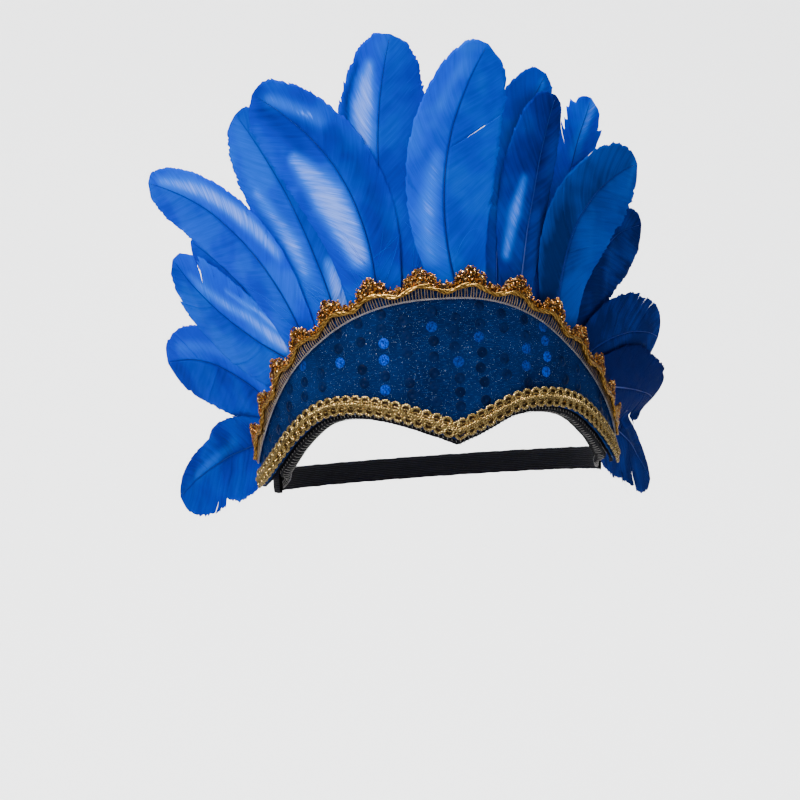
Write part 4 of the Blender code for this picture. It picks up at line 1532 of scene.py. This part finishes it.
@dataclass
class Plumage:
    """Sizes that all feathers share, and the methods that build one."""

    length: float = 0.115
    vane: float = 0.024
    tuck: float = 0.018
    first_depth: float = 0.00335
    layer_step: float = 0.0013
    layer_spread: float = 0.035
    wall: float = 0.00022
    barbs: int = 124
    steps: int = 15
    outline: tuple = (
        (-0.10, 0.46),
        (0.00, 0.58),
        (0.12, 0.70),
        (0.28, 0.88),
        (0.45, 0.98),
        (0.60, 1.00),
        (0.74, 0.94),
        (0.85, 0.82),
        (0.93, 0.65),
        (0.97, 0.48),
        (0.99, 0.30),
        (1.00, 0.00),
    )

    def rachis(self, cut: Feather, along: Array) -> tuple[Array, Array]:
        """Points and unit right-hand normals of the rachis in the flat pattern.

        It bows sideways by 4 b s (1 - s) beyond the panel's edge and runs straight back into the pocket.
        """
        length = cut.length * self.length
        seat_p = cut.seat * PATTERN.half_length
        seat_q = float(PATTERN.top(np.array(seat_p)))
        out = np.array([math.sin(math.radians(cut.turn)), math.cos(math.radians(cut.turn))])
        side = np.array([out[1], -out[0]])
        bow = cut.bow * length
        sideways = np.where(along > 0, 4 * bow * along * (1 - along), 4 * bow * along)
        slope = np.where(along > 0, 4 * bow * (1 - 2 * along), 4 * bow) + 0 * along
        place = np.array([seat_p, seat_q]) + (length * along)[..., None] * out + sideways[..., None] * side
        tangent = unit(length * out + slope[..., None] * side)
        normal = np.stack([tangent[..., 1], -tangent[..., 0]], axis=-1)
        return place, normal

    def depth(self, cut: Feather, flat: Array, along: Array, across: Array) -> Array:
        """Depth of the vane in the pattern.

        The layer's depth grows with the distance past the panel. The vane falls back from the rachis by
        the cup, waves a little along the barbs, and rolls forward at a curled edge.
        """
        run = np.maximum(PATTERN.past_edge(flat[..., 0], flat[..., 1])[2], 0.0)
        base = self.first_depth + cut.layer * (self.layer_step + self.layer_spread * run)
        free = smooth_step(run / 0.045)
        half = np.where(across < 0, cut.left, cut.right) * self.vane
        share = np.abs(across) / half
        cup = 0.0022 * share**1.6 * free
        wave = 0.0004 * free * soft_noise(along * 1.6 + share * 0.5 + cut.seat * 7, 11, 4)
        curl = np.where(across < 0, cut.curl_left, cut.curl_right)
        rolled = curl * smooth_step((share - 0.55) / 0.5) ** 1.5 * smooth_step((along - 0.2) / 0.3)
        return base + cup + wave - rolled

    def wrapped(self, cut: Feather, station: Array, sideways: Array, lift=0.0, share=1.0) -> Array:
        """Points in space beside the rachis.

        Args:
            cut: the feather.
            station: places along the rachis, as shares of its length.
            sideways: distances from the rachis, negative on the left.
            lift: how far the points stand out of the vane.
            share: the share of the sideways distance at which the vane's depth is read.

        Returns:
            The points, with x, y and z last.
        """
        place, normal = self.rachis(cut, station)
        flat = place + normal * sideways[..., None]
        depth = self.depth(cut, flat, station, sideways * share) - lift
        return PATTERN.wrap(flat[..., 0], flat[..., 1], depth)

    def outline_at(self, tips: Array) -> Array:
        """Half width of the outline at stations, as a share of the widest."""
        return smooth_curve(tips, *np.array(self.outline).T)

    def build(self, cut: Feather, finishes: Finishes) -> Piece:
        """The feather's two pieces: the vane in webs, and the shaft with the loose barbs and the down.

        Args:
            cut: the feather's sizes and look.
            finishes: the materials.

        Returns:
            The vane's piece, which replaces the CAD node.
        """
        seed = int(abs(cut.seat) * 1000) + cut.layer * 7 + (500 if cut.seat > 0 else 0)
        random = np.random.default_rng(seed)
        vane = Shape()
        for side in (LEFT, RIGHT):
            self.vane_side(vane, cut, side, random)
        piece = vane.build(f"{cut.node}_vane", [finishes.feather], weld=2e-6)
        thicken(piece, self.wall)
        dress(piece, "feather", cut.node)
        shaft = Shape()
        self.shaft(shaft, cut)
        self.loose(shaft, cut, random)
        stem = shaft.build(f"{cut.node}_shaft", [finishes.rachis, finishes.feather])
        dress(stem, "feather")
        return piece

    def vane_side(self, shape: Shape, cut: Feather, side: float, random: np.random.Generator) -> None:
        """One vane as webs of barbs.

        A barb's tip lies on the outline at station s; its root is at s - w cot(a) / L. Along the barb,
        across = w (1.12 t - 0.12 t^2) and forward = w cot(a) (0.75 t + 0.25 t^2). Where two webs part,
        each turns away from the other by the opening, beyond a share of the barb's length.
        """
        length = cut.length * self.length
        widest = self.vane * (cut.left if side < 0 else cut.right)
        openings = self.openings(cut, side, random)
        bounds = [-0.12] + [o[0] for o in openings] + [1.0]
        for web in range(len(bounds) - 1):
            start, end = bounds[web], bounds[web + 1]
            count = max(4, int(round(self.barbs * (end - start) / 1.12)) + 1)
            x = np.linspace(0.0, 1.0, count)
            x = 1.0 - (1.0 - x) ** 1.6 if web == len(openings) else x
            tips = start + (end - start) * x
            width = widest * self.outline_at(tips)
            near_tip = smooth_step((tips - 0.70) / 0.2) * smooth_step((1.0 - tips) / 0.03)
            width = width * (1.0 + cut.blunt * near_tip) * np.where(tips < self.outline[0][0], 0.9, 1.0)
            short = 1.0 - cut.ragged * 0.5 * random.random() * smooth_step((tips - 0.45) / 0.3)
            fray = 1.0 + 0.012 * random.standard_normal(count) + 0.02 * soft_noise(tips * 9, seed_of(cut, web))
            fray = fray - 0.5 * cut.blunt * near_tip * random.random(count) ** 2
            cotangent = 1.05 + 0.5 * smooth_step((tips - 0.6) / 0.4)
            roots = tips - width * cotangent / length
            t = np.linspace(0.0, 1.0, self.steps)[:, None] * short * fray
            across = width * (1.12 * t - 0.12 * t**2)
            forward = width * cotangent * (0.75 * t + 0.25 * t**2)
            if web > 0:
                _, opening, begin = openings[web - 1]
                parting = opening * np.exp(-(tips - start) / 0.05)
                forward = forward + parting * width * np.clip(t - begin, 0.0, None)
            if web < len(openings):
                _, opening, begin = openings[web]
                parting = opening * np.exp(-(end - tips) / 0.05)
                forward = forward - parting * width * np.clip(t - begin, 0.0, None)
            station = roots + forward / length
            points = self.wrapped(cut, station, side * across)
            barb_run = np.hypot(across, forward)
            uv = joined(roots * length / MM, barb_run / MM + 40.0 * (side > 0))
            uv[..., 0] += 137.0 * abs(cut.seat) + 300.0 * (side > 0)
            tone = self.tones(cut, station, side * across / widest, across / widest)
            if side < 0:
                points, uv, tone = points[::-1], uv[::-1], tone[::-1]
            shape.grid(points, uv, tone)

    def openings(self, cut: Feather, side: float, random: np.random.Generator) -> list[tuple]:
        """Where the webs of one vane part: the feather's own splits, and a few small ones.

        Returns:
            (station, opening in radians, share of the barb where it begins), in rising order.
        """
        own = [(at, opening, begin) for where, at, opening, begin in cut.splits if where == side]
        count = int(10 * cut.ragged)
        stations = 0.25 + 0.65 * random.random(count)
        wide = 0.006 + 0.05 * cut.ragged * random.random(count)
        begin = 0.92 - 0.5 * cut.ragged * random.random(count)
        small = [(float(s), float(w), float(b)) for s, w, b in zip(stations, wide, begin)]
        kept: list[tuple] = []
        for candidate in sorted(own + small):
            if not kept or candidate[0] - kept[-1][0] > 0.025:
                kept.append(candidate)
        return [k for k in kept if k[0] < 0.93]

    def tones(self, cut: Feather, along: Array, across: Array, share: Array) -> Array:
        """Colour attribute of the vane: how dark, from the dye, painted shade and painted shadow lines; how pale,
        from the painted highlights and the paler base; and how green, with soft patches.
        """
        pale = np.zeros_like(across)
        # painted highlights: the pale strokes of the satin sheen
        for points in cut.strokes:
            pale = np.maximum(pale, Stroke(points).mask(along, across))
        # paler near the base
        base = 0.55 * np.exp(-(((along - 0.02) / 0.06) ** 2)) * (0.4 if cut.down else 0.15)
        pale = np.maximum(pale, base)
        blend = smooth_step(0.5 + across / 0.2)
        # dark: dye and painted shade, given for each vane, and darker towards the rachis
        dark = cut.dark[0] + (cut.dark[1] - cut.dark[0]) * blend + 0.10 * (1 - share)
        # painted shadows: lines at folds and overlaps, and broader shaded patches
        for points in cut.shades:
            dark = dark + Stroke(points).mask(along, across)
        teal = np.full_like(across, cut.teal)
        return np.stack([dark, pale, teal, np.ones_like(across)], axis=-1)

    def shaft(self, shape: Shape, cut: Feather) -> None:
        """The rachis as one tapering tube, from its quill in the pocket to near the tip."""
        length = cut.length * self.length
        along = np.linspace(-self.tuck / length, 0.975, 48)
        middle = np.zeros_like(along)
        path = self.wrapped(cut, along, middle, 0.00012)
        radius = 0.00048 * (1 - 0.72 * np.clip(along, 0.0, 1.0) ** 0.8)
        outward = unit(self.wrapped(cut, along, middle, 0.00112) - path)
        shape.tubes(path[None], radius[None], 8, outward[None], 0.0)
        tones = np.zeros((len(shape.tones[0]), 4)) + np.array([0.0, 0.0, 0.0, 1.0])
        tones[:, 1] = np.repeat(cut.shaft * (1.0 - 0.85 * smooth_step((along - 0.1) / 0.4)), 8)
        shape.tones[0] = tones
        shape.tones[1] = tones[[0, -1]]

    def loose(self, shape: Shape, cut: Feather, random: np.random.Generator) -> None:
        """Loose barbs past the outline, and the down at the base: thin tapering strands that bend."""
        length = cut.length * self.length
        groups = []
        if cut.strays:
            tips = 0.35 + 0.62 * random.random(cut.strays)
            side = np.where(random.random(cut.strays) < 0.5, -1.0, 1.0)
            widest = self.vane * np.where(side < 0, cut.left, cut.right)
            width = widest * self.outline_at(tips)
            start = 0.8 * width
            reach = width * (0.20 + 0.20 * random.random(cut.strays))
            lean = 0.8 + 0.6 * random.random(cut.strays)
            groups.append((tips - 0.1, side, start, reach, lean, 0.05, 0.00010))
        if cut.down:
            tips = 0.00 + 0.16 * random.random(cut.down)
            side = np.where(random.random(cut.down) < 0.5, -1.0, 1.0)
            start = 0.0004 + 0.006 * random.random(cut.down)
            reach = 0.007 + 0.010 * random.random(cut.down)
            groups.append((tips, side, start, reach, 0.3 + 1.6 * random.random(cut.down), 0.40, 0.00009))
        for tips, side, start, reach, lean, pale, radius in groups:
            t = np.linspace(0.0, 1.0, 9)[None, :]
            bend = 0.35 * random.standard_normal((len(tips), 1))
            across = start[:, None] + reach[:, None] * t * (1 - 0.25 * np.abs(bend) * t)
            forward = reach[:, None] * lean[:, None] * (t + bend * t**2)
            station = tips[:, None] + forward / length
            lift = 0.0003 + (0.0006 * t if pale > 0.3 else 0.0)
            paths = self.wrapped(cut, station, side[:, None] * across, lift, 0.8)
            taper = radius * (1.0 - 0.75 * t) * np.ones((len(tips), 1))
            before = len(shape.tones)
            shape.tubes(paths, taper, 3, np.array([0.1, -1.0, 0.15]), 0.0, 1)
            colour = np.array([cut.dark[0], pale, cut.teal, 1.0])
            for k in range(before, len(shape.tones)):
                shape.tones[k] = np.zeros((len(shape.tones[k]), 4)) + colour


def seed_of(cut: Feather, web: int) -> int:
    """A seed for one web of one feather."""
    return int(abs(cut.seat) * 1000) * 31 + cut.layer * 17 + web * 5 + (3 if cut.seat > 0 else 0)


# dark is partly the dye and partly painted shade, deepest on the feathers to the right, away from the key light
FEATHERS = (
    Feather("feather_left_1", -0.93, -103, 1.00, 0.95, 0.72, 0.056, 1, (0.52, 0.60), 0.05, ragged=0.5, blunt=0.12,
            strokes=(((0.4, 0.3, 5, 0.2), (0.8, 0.1, 6, 0.3)),), strays=8,
            splits=((LEFT, 0.24, 0.10, 0.3), (LEFT, 0.30, 0.14, 0.4), (LEFT, 0.78, 0.10, 0.6))),
    Feather("feather_left_2", -0.84, -73, 0.93, 1.08, 0.78, 0.110, 2, (0.48, 0.24), 0.0, ragged=0.1,
            strokes=(((0.15, 0.3, 5, 0.25), (0.45, 0.45, 6, 0.3), (0.85, 0.35, 5, 0.25)),)),
    Feather("feather_left_3", -0.63, -57, 0.90, 0.96, 0.80, -0.070, 1, (0.30, 0.02), 0.45, ragged=0.35,
            strokes=(((0.86, 0.15, 3, 0.3), (0.62, 0.30, 4, 0.5), (0.40, 0.45, 4, 0.55), (0.12, 0.30, 5, 0.85)),
                     ((0.60, 0.65, 2, 0.4), (0.35, 0.75, 2, 0.6), (0.15, 0.6, 3, 0.8))), down=16, strays=6,
            splits=((RIGHT, 0.90, 0.17, 0.3), (LEFT, 0.91, 0.12, 0.35))),
    Feather("feather_left_4", -0.67, -45, 0.84, 0.80, 0.75, 0.080, 2, (0.16, 0.10), 0.2, ragged=0.2),
    Feather("feather_left_5", -0.565, -47, 1.12, 0.88, 0.62, 0.134, 0, (0.20, 0.02), 0.25, ragged=0.06,
            strokes=(((0.92, 0.20, 5, 0.5), (0.72, 0.50, 7, 0.72), (0.52, 0.60, 7, 0.80), (0.34, 0.70, 5, 0.6)),),
            down=10),
    Feather("feather_left_6", -0.42, -26, 1.00, 1.06, 0.80, 0.055, 1, (0.05, 0.26), 0.70, ragged=0.06,
            strokes=(((0.68, -0.62, 4, 0.5), (0.52, -0.50, 5, 0.45), (0.38, -0.40, 6, 0.7), (0.26, -0.35, 5, 0.5)),
                     ((0.22, 0.30, 5, 0.6), (0.02, 0.25, 8, 0.95))), down=14),
    Feather("feather_left_7", -0.25, -30, 1.03, 1.14, 0.80, 0.150, 0, (0.20, 0.32), 0.10, ragged=0.05,
            strokes=(((0.70, -0.50, 4, 0.55), (0.58, -0.48, 6, 0.80), (0.44, -0.42, 8, 1.0),
                      (0.30, -0.34, 7, 1.0), (0.16, -0.24, 5, 0.85)),
                     ((0.80, 0.28, 1.5, 0.5), (0.75, 0.42, 1.5, 0.7)),
                     ((0.92, 0.12, 5, 0.4), (0.72, 0.45, 6, 0.35))),
            shades=(((0.93, -0.15, 4, 0.25), (0.72, -0.25, 5, 0.15)), ((0.62, 0.5, 7, 0.18), (0.2, 0.5, 7, 0.22))),
            down=20),
    Feather("feather_left_8", -0.155, 2, 1.07, 0.90, 1.05, -0.080, 1, (0.10, 0.32), 0.30, ragged=0.05,
            strokes=(((0.86, -0.36, 4, 0.6), (0.72, -0.40, 7, 0.9), (0.56, -0.38, 7, 0.8), (0.40, -0.3, 4, 0.5)),),
            shades=(((0.86, -0.66, 1.6, 0.4), (0.74, -0.80, 1.7, 0.6), (0.60, -0.76, 1.7, 0.6),
                     (0.46, -0.52, 1.6, 0.55), (0.30, -0.22, 1.6, 0.4)),),
            curl_left=0.004, down=8),
    Feather("feather_right_9", 0.035, 14, 1.03, 0.82, 1.10, -0.120, 0, (0.04, 0.22), 0.55, ragged=0.08,
            strokes=(((0.50, -0.25, 5, 0.35), (0.30, -0.40, 7, 0.5), (0.14, -0.45, 6, 0.4)),
                     ((0.88, -0.30, 4, 0.3), (0.70, -0.45, 4, 0.3))), down=4,
            splits=((RIGHT, 0.80, 0.022, 0.3),)),
    Feather("feather_right_8", 0.19, 24, 1.00, 0.80, 0.72, -0.090, 2, (0.34, 0.26), 0.60, ragged=0.15,
            strokes=(((0.95, 0.05, 4, 0.4), (0.75, 0.35, 6, 0.4)),)),
    Feather("feather_right_7", 0.275, 20, 0.91, 0.78, 0.50, -0.035, 1, (0.60, 0.66), 0.20, shaft=0.10,
            ragged=0.08, strokes=(((0.56, -0.35, 3, 0.4), (0.40, -0.45, 5, 0.6), (0.20, -0.55, 4, 0.5)),)),
    Feather("feather_right_6", 0.375, 27, 1.03, 0.60, 0.72, -0.035, 2, (0.14, 0.10), 0.20, ragged=0.6,
            strokes=(((1.0, 0.2, 6, 0.55), (0.88, 0.1, 6, 0.5), (0.74, 0.0, 8, 0.35)),), strays=14, blunt=0.55,
            splits=((LEFT, 0.80, 0.05, 0.35), (LEFT, 0.87, 0.07, 0.25), (LEFT, 0.92, 0.05, 0.3),
                    (RIGHT, 0.76, 0.04, 0.5), (RIGHT, 0.84, 0.07, 0.35), (RIGHT, 0.90, 0.08, 0.25))),
    Feather("feather_right_5", 0.445, 40, 0.90, 0.76, 1.05, -0.190, 0, (0.66, 0.50), 1.0, ragged=0.1,
            shades=(((0.45, -0.5, 9, 0.2), (0.1, -0.4, 9, 0.3)),),
            strokes=(((0.99, -0.1, 4, 0.25), (0.93, 0.30, 3, 0.2)),), blunt=0.15, curl_right=0.002),
    Feather("feather_right_4", 0.55, 50, 0.83, 0.60, 1.15, -0.180, 2, (0.74, 0.78), 0.35, ragged=0.15),
    Feather("feather_right_3", 0.59, 84, 0.88, 0.80, 0.92, -0.075, 1, (0.79, 0.78), 0.40, ragged=0.3,
            splits=((RIGHT, 0.62, 0.05, 0.5), (LEFT, 0.70, 0.035, 0.35), (LEFT, 0.78, 0.045, 0.3),
                    (LEFT, 0.86, 0.05, 0.35))),
    Feather("feather_right_2", 0.705, 94, 1.00, 0.90, 0.74, -0.014, 0, (0.92, 0.88), 0.15, shaft=0.25,
            ragged=0.45, strays=10, blunt=0.15,
            splits=((RIGHT, 0.64, 0.10, 0.55), (RIGHT, 0.70, 0.20, 0.35), (RIGHT, 0.78, 0.26, 0.3),
                    (RIGHT, 0.85, 0.22, 0.3), (RIGHT, 0.91, 0.2, 0.2))),
    Feather("feather_right_1", 0.93, 104, 1.08, 0.80, 1.00, -0.100, 2, (0.86, 0.79), 0.35, shaft=0.35,
            ragged=0.4, strays=8, splits=((RIGHT, 0.66, 0.10, 0.5), (RIGHT, 0.85, 0.16, 0.4))),
)


# The studio


@dataclass
class Studio:
    """A pale sweep, soft lights and the camera at the photograph's angle."""

    azimuth: float = math.radians(-6.0)
    roll: float = math.radians(4.1)
    distance: float = 1.6
    scale: float = 0.000484
    centre: tuple = (437.0, 474.5)
    frame_pixels: float = 800.0
    sensor: float = 36.0

    @staticmethod
    def put(name: str, data, right, up, back, place) -> Piece:
        """Links a camera or a lamp with these axes at this place."""
        thing = bpy.data.objects.new(name, data)
        matrix = np.eye(4)
        matrix[:3] = np.stack([right, up, back, place], axis=-1)
        thing.matrix_world = Matrix(matrix.tolist())
        bpy.context.scene.collection.objects.link(thing)
        return thing

    def camera(self) -> None:
        """Places the camera, moved so that the origin falls on its pixel."""
        right = np.array([math.cos(self.azimuth), math.sin(self.azimuth), 0.0])
        back = np.array([math.sin(self.azimuth), -math.cos(self.azimuth), 0.0])
        up = np.array([0.0, 0.0, 1.0])
        cosine, sine = math.cos(self.roll), math.sin(self.roll)
        screen_right = cosine * right - sine * up
        screen_up = sine * right + cosine * up
        half = self.frame_pixels / 2
        place = (
            back * self.distance
            - (self.centre[0] - half) * self.scale * screen_right
            + (self.centre[1] - half) * self.scale * screen_up
        )
        data = bpy.data.cameras.new("camera")
        data.sensor_fit = "HORIZONTAL"
        data.sensor_width = self.sensor
        data.lens = self.sensor * self.distance / (self.scale * self.frame_pixels)
        data.clip_end = 20.0
        bpy.context.scene.camera = self.put("camera", data, screen_right, screen_up, back, place)

    def sweep(self) -> None:
        """A seamless floor and backdrop: a profile with a quarter round, pushed out sideways."""
        turn = np.linspace(0.0, math.pi / 2, 24)
        floor, wall, radius = -0.45, 1.7, 0.9
        y = np.concatenate([[-10.0], wall - radius + radius * np.sin(turn), [wall]])
        z = np.concatenate([[floor], floor + radius - radius * np.cos(turn), [3.5]])
        x = np.array([-10.0, 10.0])
        points = joined(x[None, :], y[:, None], z[:, None])
        shape = Shape()
        shape.grid(points, points[..., :2])
        material = bpy.data.materials.new("pale sweep")
        material.use_nodes = True
        nodes = Nodes(material.node_tree)
        shader = material.node_tree.nodes["Principled BSDF"]
        place = nodes.new("TexCoord").outputs["Object"]
        colour = nodes.mix(nodes.noise(place, 3.0), (0.86, 0.865, 0.87, 1), (0.90, 0.90, 0.90, 1))
        mirrored = nodes.new("LightPath").outputs["Is Glossy Ray"]
        colour = nodes.mix(mirrored, colour, (0.10, 0.10, 0.11, 1))
        material.node_tree.links.new(colour, shader.inputs["Base Color"])
        shader.inputs["Roughness"].default_value = 0.9
        shader.inputs["Emission Color"].default_value = (0.90, 0.91, 0.93, 1.0)
        seen = nodes.new("LightPath").outputs["Is Camera Ray"]
        material.node_tree.links.new(nodes.times(seen, 0.45), shader.inputs["Emission Strength"])
        shape.build("sweep", [material])

    def light(self, name: str, place: tuple, target: tuple, size: float, power: float, colour: tuple) -> None:
        """One soft area light, aimed at a target."""
        data = bpy.data.lights.new(name, "AREA")
        data.shape = "DISK"
        data.size = size
        data.energy = power
        data.color = colour
        back = unit(np.array(place) - np.array(target))
        right = unit(np.cross(np.array([0.0, 0.0, 1.0]), back))
        self.put(name, data, right, np.cross(back, right), back, place)

    def build(self) -> None:
        """The whole studio."""
        self.camera()
        self.sweep()
        self.light("key", (-1.3, -1.5, 1.3), (0.0, 0.0, 0.08), 0.6, 52.0, (1.0, 0.98, 0.95))
        self.light("fill", (1.6, -1.6, 0.5), (0.0, 0.0, 0.08), 1.4, 4.0, (0.80, 0.88, 1.0))
        self.light("back", (0.3, 1.2, 1.6), (0.0, 0.0, 0.08), 1.2, 9.0, (1.0, 1.0, 1.0))
        self.light("sweep light", (0.0, 0.6, 2.6), (0.0, 1.7, 0.2), 2.4, 260.0, (1.0, 1.0, 1.0))
        world = bpy.data.worlds.new("studio")
        world.use_nodes = True
        nodes = Nodes(world.node_tree)
        seen = nodes.new("LightPath").outputs["Is Camera Ray"]
        background = world.node_tree.nodes["Background"]
        background.inputs["Color"].default_value = (0.84, 0.88, 0.95, 1.0)
        world.node_tree.links.new(nodes.times(seen, 0.9, 0.22), background.inputs["Strength"])
        bpy.context.scene.world = world


def main() -> None:
    """Builds the studio, the band and the feathers, in that order."""
    Studio().build()
    finishes = Finishes()
    panel = Panel()
    panel.cloth(finishes)
    panel.sequins(finishes)
    lining = Lining()
    lining.felt(finishes)
    lining.stitches(finishes)
    gimp = Gimp()
    gimp.ground(finishes)
    gimp.loops(finishes)
    trim = Trim()
    trim.ground(finishes)
    trim.heading(finishes)
    trim.cords(finishes)
    trim.beads(finishes)
    Elastic().build(finishes)
    plumage = Plumage()
    for cut in FEATHERS:
        plumage.build(cut, finishes)


if __name__ == "__main__":
    main()
